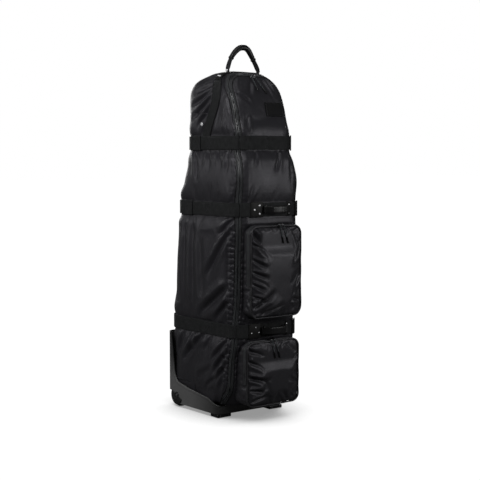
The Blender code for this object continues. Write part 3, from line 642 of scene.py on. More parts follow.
# ---------------------------------------------------------------- cloth
def simulate_grid(grid, outward, pins, pressure, growth, cap, bending):
    """Blows a grid of cloth out a little from its pinned edges, so that its slack folds."""
    rows, columns = grid.shape[:2]
    faces = grid_faces(rows, columns)
    corner = grid[0, 0], grid[0, 1], grid[1, 0]
    if np.dot(np.cross(corner[1] - corner[0], corner[2] - corner[0]), outward[0, 0]) < 0:
        faces = [tuple(reversed(f)) for f in faces]
    cloth = add_mesh("cloth", grid, faces)
    moved = run_cloth(cloth, pins.ravel(), pressure, growth, 20, bending)
    bpy.data.objects.remove(cloth)
    return move_up_to(grid, moved.reshape(grid.shape), cap)


def move_up_to(before, after, cap):
    """Points moved from before towards after, by no more than cap."""
    shift = after - before
    length = np.linalg.norm(shift, axis=-1, keepdims=True)
    return before + shift * np.minimum(1.0, cap / np.maximum(length, 1e-9))


def run_cloth(piece, pins, pressure, growth, frames, bending):
    """Runs Blender's cloth on a mesh and returns where its points end up."""
    group = piece.vertex_groups.new(name="pins")
    for level in np.unique(np.round(pins, 2)):
        if level > 0:
            group.add(np.nonzero(np.round(pins, 2) == level)[0].tolist(), float(level), "REPLACE")
    modifier = piece.modifiers.new("cloth", "CLOTH")
    settings = modifier.settings
    settings.quality = 5
    settings.mass = 0.15
    settings.tension_stiffness = settings.compression_stiffness = 18
    settings.shear_stiffness = 8
    settings.bending_stiffness = bending
    settings.vertex_group_mass = "pins"
    settings.use_pressure = True
    settings.uniform_pressure_force = pressure
    settings.shrink_min = -growth
    settings.effector_weights.gravity = 0.0
    modifier.collision_settings.use_collision = False
    modifier.point_cache.frame_start, modifier.point_cache.frame_end = 1, frames
    scene = bpy.context.scene
    for number in range(1, frames + 1):
        scene.frame_set(number)
    points = read_points(piece.evaluated_get(bpy.context.evaluated_depsgraph_get()))
    piece.modifiers.remove(modifier)
    scene.frame_set(1)
    return points


def fold(a, z, line):
    """A crease with a ridge beside it, along a line: (a, z) at its start and end, half width at each
    end, and depth."""
    a0, z0, a1, z1, width0, width1, depth = line
    da, dz = a1 - a0, z1 - z0
    length = math.hypot(da, dz)
    along = ((a - a0) * da + (z - z0) * dz) / length ** 2
    aside = ((a - a0) * -dz + (z - z0) * da) / length
    width = width0 + (width1 - width0) * np.clip(along, 0, 1)
    ends = smooth_step(-0.12, 0.12, along) * (1 - smooth_step(0.6, 1.15, along))
    return depth * ends * (0.75 * bump(aside - 1.35 * width, width) - bump(aside, 0.8 * width)
                           + 0.35 * bump(aside + 1.5 * width, width))


def strap_share(z, reach=0.004):
    """1 under a strap, 0 away from it."""
    share = np.zeros_like(z)
    for height in STRAPS.values():
        share = np.maximum(share, 1 - smooth_step(WEBBING / 2, WEBBING / 2 + reach, np.abs(z - height)))
    return share


def side_webbing_y(z):
    """The middle of the side webbing at a height."""
    heights, middles = np.array(SIDE_WEBBING[::-1]).T
    soft = np.linspace(-0.012, 0.012, 5)
    return np.mean([np.interp(np.asarray(z) + d, heights, middles) for d in soft], axis=0)


def webbing_share(points):
    """1 under the webbing that slants down each side from the top handle, 0 away from it."""
    x, y, z = points[..., 0], points[..., 1], points[..., 2]
    near = 1 - smooth_step(0.026, 0.036, np.abs(y - side_webbing_y(z)))
    return near * (np.abs(x) > 0.04) * (z > 1.0)


def strap_gap(z):
    """Distance to the nearest strap's edge."""
    return np.min([np.abs(z - height) - WEBBING / 2 for height in STRAPS.values()], axis=0)


PUCKER_PITCH = 0.0215


def pucker(away, z, seed, depth):
    """Cells of gathered cloth along a zip, in two columns beside its tape."""
    grooves = ((0.0080, 0.0028, 0.50), (0.0215, 0.0028, 0.45), (0.0370, 0.0040, 0.55))
    columns = ((0.0145, 0.0062, 1.0), (0.0288, 0.0074, 0.85))
    height = -sum(share * bump(away - middle, width) for middle, width, share in grooves)
    for n, (middle, width, share) in enumerate(columns):
        place = np.stack([z * 12 + 5 * n, np.full_like(z, seed * 3.7 + n), np.zeros_like(z)], -1)
        phase = z / PUCKER_PITCH + 1.1 * value_noise(place, seed + n) + 0.4 * n
        cell = 1 - np.abs(2 * (phase - np.floor(phase)) - 1) ** 5
        place[..., 0] = np.floor(phase) * 1.7
        tall = 0.62 + 0.38 * value_noise(place, seed + 4 + n)
        height = height + share * bump(away - middle, width) * (cell * tall - 0.5 * (1 - cell))
    return depth * height


def pucker_depth(z):
    """How gathered the cloth beside the zip is at a height."""
    low = smooth_step(0.10, 0.16, z) * (1 - smooth_step(0.66, 0.72, z))
    return 0.0010 + 0.0042 * low


# Creases on each side of the case, each a line for fold.  a runs back from the zip, z is the height.
LEFT_FOLDS = [
    (0.012, 0.728, 0.080, 0.664, 0.007, 0.014, 0.0085),
    (0.024, 0.690, 0.165, 0.500, 0.009, 0.020, 0.0085),
    (0.045, 0.480, 0.206, 0.362, 0.015, 0.022, 0.0110),
    (0.035, 0.432, 0.100, 0.358, 0.009, 0.014, 0.0090),
    (0.174, 0.296, 0.272, 0.188, 0.012, 0.016, 0.0095),
    (0.120, 0.294, 0.150, 0.240, 0.008, 0.014, 0.0040),
    (0.034, 0.288, 0.095, 0.212, 0.008, 0.012, 0.0080),
    (0.024, 0.246, 0.080, 0.170, 0.007, 0.012, 0.0075),
    (0.026, 0.196, 0.072, 0.132, 0.006, 0.010, 0.0065),
    (0.070, 0.150, 0.135, 0.105, 0.008, 0.012, 0.0040),
    (0.225, 0.292, 0.240, 0.225, 0.008, 0.012, 0.0060),
    (0.030, 0.200, 0.046, 0.100, 0.010, 0.014, 0.0060),
    (0.100, 0.180, 0.200, 0.130, 0.012, 0.016, 0.0030),
    (0.250, 0.700, 0.235, 0.380, 0.016, 0.020, 0.0050),
    (0.300, 0.690, 0.290, 0.400, 0.014, 0.018, 0.0045),
    (0.200, 0.640, 0.180, 0.420, 0.018, 0.020, 0.0035),
    (0.290, 0.290, 0.310, 0.200, 0.012, 0.014, 0.0050),
    # under the upper strap
    (0.034, 0.964, 0.062, 0.880, 0.007, 0.013, 0.0042),
    (0.096, 0.964, 0.084, 0.900, 0.009, 0.014, 0.0030),
    (0.150, 0.964, 0.160, 0.890, 0.010, 0.015, 0.0026),
    (0.232, 0.962, 0.240, 0.850, 0.009, 0.016, 0.0050),
    (0.016, 0.800, 0.036, 0.860, 0.007, 0.013, 0.0035),
    # draped from the shoulder to the back edge
    (0.040, 1.212, 0.185, 1.172, 0.007, 0.010, 0.0060),
    (0.048, 1.200, 0.235, 1.122, 0.007, 0.011, 0.0070),
    (0.050, 1.188, 0.240, 1.078, 0.007, 0.011, 0.0070),
    (0.060, 1.170, 0.225, 1.040, 0.007, 0.012, 0.0070),
    (0.075, 1.142, 0.190, 1.026, 0.007, 0.011, 0.0060),
    (0.090, 1.110, 0.160, 1.024, 0.006, 0.010, 0.0050),
    (0.018, 1.150, 0.030, 1.030, 0.006, 0.010, 0.0045),
    (0.036, 1.110, 0.050, 1.030, 0.006, 0.010, 0.0040),
]
RIGHT_FOLDS = [
    (0.014, 0.726, 0.090, 0.640, 0.008, 0.016, 0.0080),
    (0.060, 0.700, 0.190, 0.470, 0.012, 0.022, 0.0075),
    (0.040, 0.470, 0.180, 0.362, 0.014, 0.020, 0.0090),
    (0.030, 0.420, 0.080, 0.358, 0.009, 0.014, 0.0080),
    (0.160, 0.296, 0.250, 0.200, 0.012, 0.016, 0.0085),
    (0.060, 0.294, 0.110, 0.220, 0.010, 0.014, 0.0060),
    (0.018, 0.250, 0.060, 0.180, 0.006, 0.010, 0.0060),
    (0.270, 0.690, 0.250, 0.400, 0.016, 0.020, 0.0050),
    (0.210, 0.620, 0.200, 0.430, 0.018, 0.020, 0.0040),
    (0.050, 0.962, 0.070, 0.870, 0.008, 0.014, 0.0042),
    (0.120, 0.962, 0.112, 0.890, 0.010, 0.016, 0.0032),
    (0.200, 0.964, 0.210, 0.860, 0.010, 0.016, 0.0045),
    (0.030, 0.796, 0.052, 0.860, 0.008, 0.014, 0.0035),
    (0.040, 1.212, 0.190, 1.168, 0.007, 0.010, 0.0060),
    (0.050, 1.198, 0.235, 1.115, 0.007, 0.011, 0.0070),
    (0.055, 1.182, 0.238, 1.070, 0.007, 0.011, 0.0065),
    (0.065, 1.160, 0.210, 1.036, 0.007, 0.012, 0.0065),
    (0.080, 1.130, 0.160, 1.028, 0.007, 0.011, 0.0055),
    (0.024, 1.140, 0.034, 1.030, 0.006, 0.010, 0.0045),
]
# The same on the front, with x for a.
FRONT_FOLDS = [
    (-0.092, 1.166, -0.050, 1.132, 0.005, 0.008, 0.0060),
    (0.058, 1.222, 0.080, 1.150, 0.006, 0.009, 0.0060),
    (0.038, 1.214, 0.060, 1.140, 0.006, 0.009, 0.0030),
    (0.085, 1.200, 0.100, 1.100, 0.006, 0.010, 0.0065),
    (-0.020, 1.205, -0.045, 1.160, 0.007, 0.012, 0.0035),
    (0.104, 1.170, 0.112, 1.040, 0.006, 0.010, 0.0045),
    (0.052, 0.964, 0.022, 0.885, 0.006, 0.012, 0.0045),
    (-0.052, 0.964, -0.066, 0.905, 0.007, 0.012, 0.0028),
    (0.100, 0.960, 0.094, 0.850, 0.007, 0.012, 0.0050),
    (-0.094, 0.790, -0.080, 0.846, 0.007, 0.012, 0.0035),
    (-0.072, 1.086, -0.088, 1.024, 0.007, 0.010, 0.0040),
]


def crumple(points, seed, depth):
    """Small irregular folds, longer up and down than across."""
    broad = layered_noise(points * np.array((9.0, 9.0, 6.0)), seed, 2)
    sharp = 1 - np.abs(layered_noise(points * np.array((13.0, 13.0, 8.0)) + 3.1, seed + 9, 2))
    return depth * (1.2 * broad + 0.30 * (sharp - 0.6))


def soft_shape(a, z, points, folds, seed, rough=0.0020):
    """How far the cloth stands off its plain form before it is let go slack."""
    height = sum(fold(a, z, line) for line in folds)
    gap = np.maximum(strap_gap(z), 0.0)
    height = height + 0.0035 * bump(gap - 0.030, 0.022) - 0.0015 * bump(gap, 0.008)
    pleats = value_noise(np.stack([a * 30 + 3 * z, z * 6, np.full_like(a, seed)], -1), seed + 31)
    patchy = smooth_step(-0.1, 0.5, value_noise(np.stack([a * 14, z * 9, np.zeros_like(a)], -1), seed + 5))
    height = height + 0.0009 * pleats * bump(gap, 0.030) * patchy
    return height + crumple(points, seed, rough)


# ---------------------------------------------------------------- the bag's skin
SEGMENTS = {"corner_front": 5, "side": 38, "corner_back": 9, "back_half": 12}
ROW_SPACING = 0.0068
SHELL_BOTTOM = 0.052


def shell_row(z):
    """One row round the back, from the opening's left edge to its right edge."""
    width_front, width_back, front, back, radius = (float(v) for v in section(z))
    edge = min(float(opening_half_width(z)), width_front - 0.001)
    flat = width_front - radius
    start = 180 + math.degrees(math.acos(np.clip((edge - flat) / radius, 0.0, 1.0)))
    front_arc = arc(-flat, front + radius, radius, start, 180, 25)
    if edge < flat:
        front_arc = np.concatenate([[(-edge, front)], front_arc])
    front_arc = spread(front_arc, SEGMENTS["corner_front"] + 1)
    back_arc = arc(-width_back + radius, back - radius, radius, 180, 90, SEGMENTS["corner_back"] + 1)
    side = front_arc[-1] + np.linspace(0, 1, SEGMENTS["side"] + 1)[:, None] * (back_arc[0] - front_arc[-1])
    rear = np.linspace(back_arc[-1], (0.0, back), SEGMENTS["back_half"] + 1)
    left = np.concatenate([front_arc[:-1], side[:-1], back_arc[:-1], rear])
    if z < AXLE_STEP_Z:
        # Below the step the bag ends in front of the axle.
        turn = AXLE_STEP_Y - AXLE_CORNER
        kept = int(np.argmax(left[:, 1] > turn))
        bend = arc(left[kept - 1, 0] + AXLE_CORNER, turn, AXLE_CORNER, 180, 90, 13)
        rest = np.concatenate([left[kept - 1:kept], bend, [(0.0, AXLE_STEP_Y)]])
        left = np.concatenate([left[:kept], spread(rest, len(left) - kept + 1)[1:]])
    row = np.concatenate([left, left[-2::-1] * (-1, 1)])
    return np.column_stack([row, np.full(len(row), z)])


def shell_grid():
    """Rows of points up the shell, and their heights."""
    heights = np.concatenate([
        [SHELL_BOTTOM, 0.066, 0.080, 0.092, AXLE_STEP_Z - 0.0008],
        heights_between(AXLE_STEP_Z + 0.0008, TUB_TOP, ROW_SPACING),
        heights_between(TUB_TOP, DOME_START, ROW_SPACING)[1:],
        heights_between(DOME_START, OPENING_TOP, ROW_SPACING)[1:],
    ])
    return np.stack([shell_row(z) for z in heights]), heights


def away_from_zip(grid):
    """Distance of each point from the opening's edge along its row."""
    step = np.linalg.norm(np.diff(grid, axis=1), axis=-1)
    from_left = np.concatenate([np.zeros((len(grid), 1)), np.cumsum(step, axis=1)], axis=1)
    return np.minimum(from_left, from_left[:, -1:] - from_left)


def toward_boot(points):
    """How far the cloth low on the sides bulges out to fill the boot's rim."""
    x, y, z = points[..., 0], points[..., 1], points[..., 2]
    near = 1 - smooth_step(0.060, 0.100, np.abs(y - 0.02))
    return np.clip(0.1462 - np.abs(x), 0.0, 0.014) * near * (1 - smooth_step(0.10, 0.13, z))


def shell_normals(grid):
    """Directions out of the bag's cloth."""
    sides = grid - np.array((0.0, BODY_MIDDLE_Y, 0.0))
    return grid_normals(grid, sides - np.array((0, 0, 0.9)) * (grid[..., 2] > DOME_START)[..., None])


def make_shell():
    """The bag round the opening: one cloth, cut into its sewn panels."""
    grid, heights = shell_grid()
    columns = grid.shape[1]
    side_columns = SEGMENTS["corner_front"] + SEGMENTS["side"] + SEGMENTS["corner_back"]
    away = away_from_zip(grid)
    z = grid[..., 2]
    outward = shell_normals(grid)
    left = soft_shape(away, z, grid, LEFT_FOLDS, 3)
    right = soft_shape(away, z, grid, RIGHT_FOLDS, 8)
    height = left + (right - left) * smooth_step(-0.04, 0.04, grid[..., 0])

    grid = grid + outward * (toward_boot(grid) * smooth_step(0.015, 0.050, away))[..., None]
    calm = smooth_step(0.004, 0.030, away) * smooth_step(0.080, 0.130, z)
    calm = calm * (1 - smooth_step(1.205, 1.235, z)) * (1 - 0.85 * strap_share(z, 0.010))
    over_wheel = smooth_step(0.070, 0.100, grid[..., 1]) * (1 - smooth_step(0.106, 0.140, z))
    calm = calm * (1 - over_wheel)
    seam = np.zeros(columns)
    for c in (side_columns, columns - 1 - side_columns):
        seam = np.maximum(seam, bump(np.arange(columns) - c, 1.2))
    calm = calm * (1 - 0.7 * seam[None, :]) * (1 - 0.8 * webbing_share(grid))
    grid = grid + outward * (height * calm)[..., None]

    pins = np.maximum(strap_share(z), 1 - smooth_step(0.004, 0.010, away))
    pins = np.maximum(pins, 1 - smooth_step(0.090, 0.100, z))
    pins = np.maximum(pins, smooth_step(1.225, 1.232, z))
    pins = np.maximum(pins, 0.75 * seam[None, :])
    pins = np.maximum(pins, 0.95 * webbing_share(grid))
    grid = simulate_grid(grid, outward, pins, 1.5, 0.0022, 0.006, bending=2.5)

    grid = refine(grid)
    away = away_from_zip(grid)
    z = grid[..., 2]
    outward = shell_normals(grid)
    fine = pucker(away, z, 2, pucker_depth(z)) * (1 - 0.9 * strap_share(z, 0.008))
    fine = fine * smooth_step(0.080, 0.120, z) * (1 - smooth_step(1.19, 1.225, z))
    column = np.arange(grid.shape[1])
    for c in (2 * side_columns, grid.shape[1] - 1 - 2 * side_columns):
        fine = fine - 0.0022 * bump(column - c, 0.9)[None, :]
        fine = fine + 0.0010 * bump(np.abs(column - c) - 2.6, 1.0)[None, :]
    rows_of = {name: int(np.argmin(np.abs(refine_heights(heights) - level)))
               for name, level in (("dome", DOME_START), ("strap", STRAPS["upper"]))}
    row = np.arange(len(grid))
    at_back = np.abs(column - (len(column) - 1) / 2) < 40
    fine = fine - 0.0018 * (bump(row - rows_of["dome"], 0.9)[:, None] * at_back[None, :])
    grid = grid + outward * fine[..., None]
    return grid, rows_of, 2 * side_columns


def refine_heights(heights):
    """The heights of the rows after refine has doubled them."""
    doubled = np.empty(2 * len(heights) - 1)
    doubled[0::2], doubled[1::2] = heights, (heights[1:] + heights[:-1]) / 2
    return doubled


def skin_piece(name, grid, replaced, body="root", material=None, extra=None, keep=None):
    """A panel cut from a grid of points, with its lining.

    keep says which of the grid's faces it has, and extra is (points, faces) welded to its edge.
    """
    faces = grid_faces(*grid.shape[:2])
    if keep is not None:
        faces = [face for face, kept in zip(faces, keep.ravel()) if kept]
    vertices = grid.reshape(-1, 3)
    if extra is not None:
        more_vertices, more_faces = extra
        faces = faces + [tuple(v + len(vertices) for v in f) for f in more_faces]
        vertices = np.concatenate([vertices, more_vertices])
    used = sorted({v for face in faces for v in face})
    place = {v: n for n, v in enumerate(used)}
    piece = add_mesh(name, vertices[used], [tuple(place[v] for v in face) for face in faces])
    if extra is not None:
        weld(piece)
        fix_normals(piece)
    else:
        face_outwards(piece)
    show(piece, body, material or BODY, replaced)
    thicken(piece, SKIN, LINING)
    return piece


def face_outwards(piece, centre=(0.0, 0.02, 0.65)):
    """Turns an open skin's faces away from the middle of the case."""
    mesh = piece.data
    tilt = sum(p.area * p.normal.dot(p.center - Vector(centre)) for p in mesh.polygons)
    if tilt < 0:
        mesh.flip_normals()


def weld(piece, distance=0.0002):
    """Joins points that lie together."""
    work = bmesh.new()
    work.from_mesh(piece.data)
    bmesh.ops.remove_doubles(work, verts=work.verts, dist=distance)
    work.to_mesh(piece.data)
    work.free()


def closing_rings(edge, levels):
    """Rings that close a bag's end: the edge ring, then (share of its size, height) for each level."""
    centre = edge.mean(0)
    rings = [edge]
    for share, z in levels:
        ring = centre + (edge - centre) * share
        ring[:, 2] = z
        rings.append(ring)
    count = len(edge)
    vertices = np.concatenate(rings + [[(centre[0], centre[1], levels[-1][1])]])
    faces = grid_faces(len(rings), count, wrap=True)
    last = (len(rings) - 1) * count
    faces += [(last + k, last + (k + 1) % count, len(vertices) - 1) for k in range(count)]
    return vertices, faces


def ring_over_opening(edge, z):
    """A closed ring from an end row of the shell, carried across the opening along the front."""
    span = np.linspace(edge[-1], edge[0], 31)[1:-1]
    span[:, 1] = front_y(span[:, 0], z)
    return np.concatenate([edge, span])


def build_shell():
    """The side, back and top skins, the base, and the strips over the wheel wells."""
    grid, rows_of, side_columns = make_shell()
    dome, strap = rows_of["dome"], rows_of["strap"]
    rows, count = grid.shape[:2]
    # The dome's skin runs down in front of the side webbing to the upper strap, which hide its edge.
    webbing = int(np.argmin(np.abs(grid[(dome + strap) // 2, :side_columns, 1] + 0.008)))
    row, column = np.mgrid[0:rows - 1, 0:count - 1]
    in_dome = (row >= dome) | (row >= strap) & ((column < webbing) | (column >= count - 1 - webbing))
    spans = {"side_skin_left": ("side_panel_left", 0, side_columns),
             "back_skin": ("back_panel", side_columns, count - 1 - side_columns),
             "side_skin_right": ("side_panel_right", count - 1 - side_columns, count - 1)}
    for name, (node, first, last) in spans.items():
        skin_piece(name, grid[:dome + 1, first:last + 1], [node],
                   keep=~in_dome[:dome, first:last])

    # The dome's crown closes over the opening's top edge.
    levels = [(0.90, 1.2415), (0.76, 1.2460), (0.56, 1.2500), (0.30, 1.2530), (0.10, 1.2540)]
    crown = closing_rings(ring_over_opening(grid[-1], OPENING_TOP), levels)
    skin_piece("dome_skin", grid[strap:], ["top_panel"], extra=crown, keep=in_dome[strap:])

    ring = ring_over_opening(grid[0], SHELL_BOTTOM)
    ring = ring.mean(0) + (ring - ring.mean(0)) * 0.965
    ring[:, 2] = 0.0480
    base = closing_rings(ring, [(0.985, 0.0455), (0.94, 0.0450), (0.5, 0.0450), (0.1, 0.0450)])
    tub = add_mesh("tub_skin", *base)
    fix_normals(tub)
    show(tub, "root", BODY, ["bottom_panel"])
    thicken(tub, SKIN, LINING)
    # A strip of the same cloth closes the gap over each wheel well, inside the boot's rim.
    for side, sign in (("left", -1), ("right", 1)):
        y = np.linspace(0.062, 0.190, 24)
        low = np.interp(y, [0.060, 0.100, 0.112, 0.120], [0.070, 0.076, 0.078, 0.0885])
        z = low + (0.118 - low) * np.linspace(1, 0, 8)[:, None]
        points, out = on_side(sign, np.broadcast_to(y, (8, 24)), np.full((8, 24), 0.110))
        points[..., 2] = z
        inside = 0.0003 + 0.0024 * smooth_step(0.100, 0.082, z) - toward_boot(points)
        skirt = add_mesh("well_skirt_" + side, points - out * inside[..., None], grid_faces(8, 24))
        face_outwards(skirt)
        show(skirt, "root", BODY)
        thicken(skirt, 0.0020, LINING)


# ---------------------------------------------------------------- the front flap
def front_row(z):
    """One row of the flap, from its left edge to its right edge."""
    width, _, front, _, radius = (float(v) for v in section(z))
    edge = float(opening_half_width(z)) - SEAM_GAP
    flat = width - radius
    angle = np.arcsin(np.clip((edge - flat) / radius, 0, 1))
    turn = np.linspace(angle, 0, 7)[:-1]
    arc_x, arc_y = flat + radius * np.sin(turn), front + radius - radius * np.cos(turn)
    line = np.linspace(-flat, flat, 37)
    x = np.concatenate([-arc_x, line, arc_x[::-1]])
    y = np.concatenate([arc_y, np.full(37, front), arc_y[::-1]])
    return np.column_stack([x, y, np.full(len(x), z)])


def pocket_share(x, z, grow=0.0):
    """1 behind a pocket, 0 away from them."""
    share = np.zeros_like(z)
    for width, low, high, _ in POCKETS.values():
        inside = np.minimum(width + grow - np.abs(x), np.minimum(z - low + grow, high + grow - z))
        share = np.maximum(share, smooth_step(-0.004, 0.006, inside))
    return share


def badge_share(x, z):
    """1 behind the patch on the front, 0 away from it."""
    low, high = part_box("front_patch")
    inside = np.minimum(np.minimum(x - low.x, high.x - x), np.minimum(z - low.z, high.z - z))
    return smooth_step(-0.012, -0.001, inside)


def build_flap():
    """The zipped front of the bag."""
    heights = heights_between(OPENING_BOTTOM + SEAM_GAP, OPENING_TOP - SEAM_GAP, ROW_SPACING)
    grid = np.stack([front_row(z) for z in heights])
    x, z = grid[..., 0], grid[..., 2]
    away = away_from_zip(grid)
    away = np.minimum(away, np.maximum(OPENING_TOP - z, 0) * 1.6)
    outward = grid_normals(grid, np.array((0.0, -1.0, 0.2)))
    height = soft_shape(x, z, grid, FRONT_FOLDS, 21, 0.0012)
    calm = smooth_step(0.004, 0.030, away) * smooth_step(0.055, 0.10, z)
    badge = badge_share(x, z)
    calm = calm * (1 - 0.85 * strap_share(z, 0.010)) * (1 - pocket_share(x, z, 0.004)) * (1 - 0.95 * badge)
    grid = grid + outward * (height * calm)[..., None]
    pins = np.maximum(strap_share(z), 1 - smooth_step(0.004, 0.010, away))
    pins = np.maximum(np.maximum(pins, pocket_share(x, z)), 0.97 * badge)
    grid = simulate_grid(grid, outward, pins, 1.5, 0.0015, 0.005, bending=2.5)

    grid = refine(grid)
    away = away_from_zip(grid)
    x, z = grid[..., 0], grid[..., 2]
    away = np.minimum(away, np.maximum(OPENING_TOP - z, 0) * 1.6)
    outward = grid_normals(grid, np.array((0.0, -1.0, 0.2)))
    fine = pucker(away, z, 6, pucker_depth(z)) * (1 - 0.9 * strap_share(z, 0.008))
    fine = fine * smooth_step(0.055, 0.080, z) * (1 - pocket_share(x, z))
    grid = grid + outward * fine[..., None]
    skin_piece("front_skin", grid, ["front_panel"], "front_flap", FLAP)


# ---------------------------------------------------------------- straps
def strap_path(z, start, end, lift):
    """Points round the body at a strap's height between two distances from the front's middle."""
    ring = body_ring(z, lift)
    along = distances(ring)
    at = np.arange(start, end, 0.004)
    at = np.append(at, end)
    path = np.stack([np.interp(at, along, ring[:, k]) for k in (0, 1)], axis=1)
    tangent = unit(np.gradient(path, axis=0))
    outward = np.stack([tangent[:, 1], -tangent[:, 0]], axis=1) * -1
    centre = np.array((0.0, BODY_MIDDLE_Y))
    outward = np.where(((path - centre) * outward).sum(1, keepdims=True) < 0, -outward, outward)
    wave = value_noise(np.stack([at * 9, np.full_like(at, z * 40), np.zeros_like(at)], -1), 5) * 0.0007
    path3 = np.column_stack([path, np.full(len(path), z) + wave])
    return path3, np.column_stack([outward, np.zeros(len(outward))])


def ring_distance(z, lift, x=None, y=None, side=-1):
    """Distance round the body from the front's middle by the left, to an x on the front or a y on a side."""
    ring = body_ring(z, lift)
    along = distances(ring)
    half = len(ring) // 2
    part = slice(0, half) if side < 0 else slice(half, len(ring))
    pts, dist = ring[part], along[part]
    if x is not None:
        near = np.abs(pts[:, 0] - x) + 10 * (pts[:, 1] > 0)
    else:
        near = np.abs(pts[:, 1] - y) + 10 * (np.sign(pts[:, 0]) != side)
    return float(dist[np.argmin(near)])


BAND = rounded_box_outline(WEBBING - 0.001, 0.0022, 0.0009, steps=3, middle=8)


def strap_band(name, z, start, end, lift=STRAP_LIFT, outline=BAND):
    """A band round the body at a strap's height, between two distances from the front's middle."""
    path, outward = strap_path(z, start, end, lift)
    return sweep(name, path, outward, outline)


def stitch_row(name, path, outward, pitch=0.0042, thick=0.0005):
    """Short raised stitches along a path."""
    path = resample(np.column_stack([path, np.broadcast_to(outward, np.shape(path))]), pitch)
    vertices, faces = [], []
    for k in range(len(path) - 1):
        here, out = path[k, :3], unit(path[k, 3:])
        along = (path[k + 1, :3] - here) * 0.62
        side = unit(np.cross(out, along)) * thick
        start = len(vertices)
        for share, rise in ((0.0, 0.1), (0.25, 1.0), (0.75, 1.0), (1.0, 0.1)):
            centre = here + along * share + out * thick * rise * 1.1
            low = here + along * share - out * thick * 0.6
            vertices += [low + side, centre + side * 0.8, centre - side * 0.8, low - side]
        faces += grid_faces(4, 4, wrap=True, start=start)
        faces += [(start, start + 1, start + 2, start + 3), (start + 12, start + 13, start + 14, start + 15)]
    piece = add_mesh(name, vertices, faces)
    fix_normals(piece)
    return piece


def box_stitch(name, z, middle, half_length, half_height, lift, crossed=True):
    """Stitches in a rectangle, with a cross inside, on a strap."""
    def at(distance, height):
        path, outward = strap_path(z, distance, distance + 0.008, lift)
        return path[0] + (0, 0, height), outward[0]

    corners = [(-1, -1), (1, -1), (1, 1), (-1, 1), (-1, -1)]
    lines = [corners]
    if crossed:
        lines += [[(-1, -1), (1, 1)], [(-1, 1), (1, -1)]]
    rows = []
    for n, line in enumerate(lines):
        points, outs = [], []
        for (a0, h0), (a1, h1) in zip(line, line[1:]):
            for t in np.linspace(0, 1, 7)[:-1]:
                p, o = at(middle + half_length * (a0 + (a1 - a0) * t), half_height * (h0 + (h1 - h0) * t))
                points.append(p)
                outs.append(o)
        p, o = at(middle + half_length * line[-1][0], half_height * line[-1][1])
        rows.append(stitch_row(f"{name}_{n}", np.array(points + [p]), np.array(outs + [o])))
    return join(name, rows)


def build_straps():
    """The three straps with their keepers, stitches, tail loops and buckles."""
    top = STRAP_LIFT + 0.0012
    for level, z in STRAPS.items():
        seam = float(opening_half_width(z))
        left = ring_distance(z, STRAP_LIFT, x=-seam - 0.0006)
        front_left = ring_distance(z, STRAP_LIFT, x=-seam + SEAM_GAP)
        buckle_back = ring_distance(z, STRAP_LIFT, y=BUCKLE_BACK + 0.004, side=1)
        buckle_front = ring_distance(z, STRAP_LIFT, y=BUCKLE_FRONT - 0.002, side=1)
        whole = ring_distance(z, STRAP_LIFT, x=0.0005, side=1)
        rear = strap_band("rear_webbing_" + level, z, left, buckle_back)
        show(rear, "root", STRAP, ["strap_rear_" + level])
        front = join("front_webbing_" + level, [
            strap_band("front_a", z, 0.0, front_left), strap_band("front_b", z, buckle_front, whole)])
        show(front, "front_flap", STRAP, ["strap_front_" + level])

        # Cloth keepers that the strap runs through, near each back corner, and their stitches.
        if level != "lower":
            for side, sign in (("left", -1), ("right", 1)):
                near, far = {"mid": (0.078, 0.146), "upper": (0.046, 0.104)}[level]
                low, high = sorted(ring_distance(z, STRAP_LIFT, y=y, side=sign) for y in (near, far))
                keeper = strap_band(f"keeper_{level}_{side}", z, low, high, STRAP_LIFT + 0.0030,
                                    rounded_box_outline(WEBBING + 0.005, 0.0018, 0.0008, steps=3, middle=8))
                show(keeper, "root", STRAP)
                stitches = box_stitch(f"keeper_stitches_{level}_{side}", z, (low + high) / 2,
                                      (high - low) / 2 - 0.003, WEBBING / 2 - 0.002, STRAP_LIFT + 0.0040,
                                      crossed=False)
                show(stitches, "root", THREAD)
        if level == "upper":
            tack = box_stitch("strap_stitches_" + level, z, ring_distance(z, STRAP_LIFT, x=-0.002),
                              0.012, WEBBING / 2 - 0.006, top)
            show(tack, "front_flap", THREAD)
        for side, sign in (("left", -1), ("right", 1)):
            middle = ring_distance(z, STRAP_LIFT, y=-0.02, side=sign)
            stitches = box_stitch(f"anchor_stitches_{level}_{side}", z, middle, 0.020,
                                  WEBBING / 2 - 0.006, top)
            show(stitches, "root", THREAD)
        seam_x = seam - 0.0030
        start, end = (ring_distance(z, STRAP_LIFT, x=x, side=1) for x in (seam_x, 0.0885))
        loop = strap_band("tail_loop_" + level, z, start, end, STRAP_LIFT + 0.0036,
                          rounded_box_outline(WEBBING + 0.005, 0.0034, 0.0014, steps=4, middle=4))
        show(loop, "front_flap", PLATE_PLASTIC)
        build_buckle(level, z)


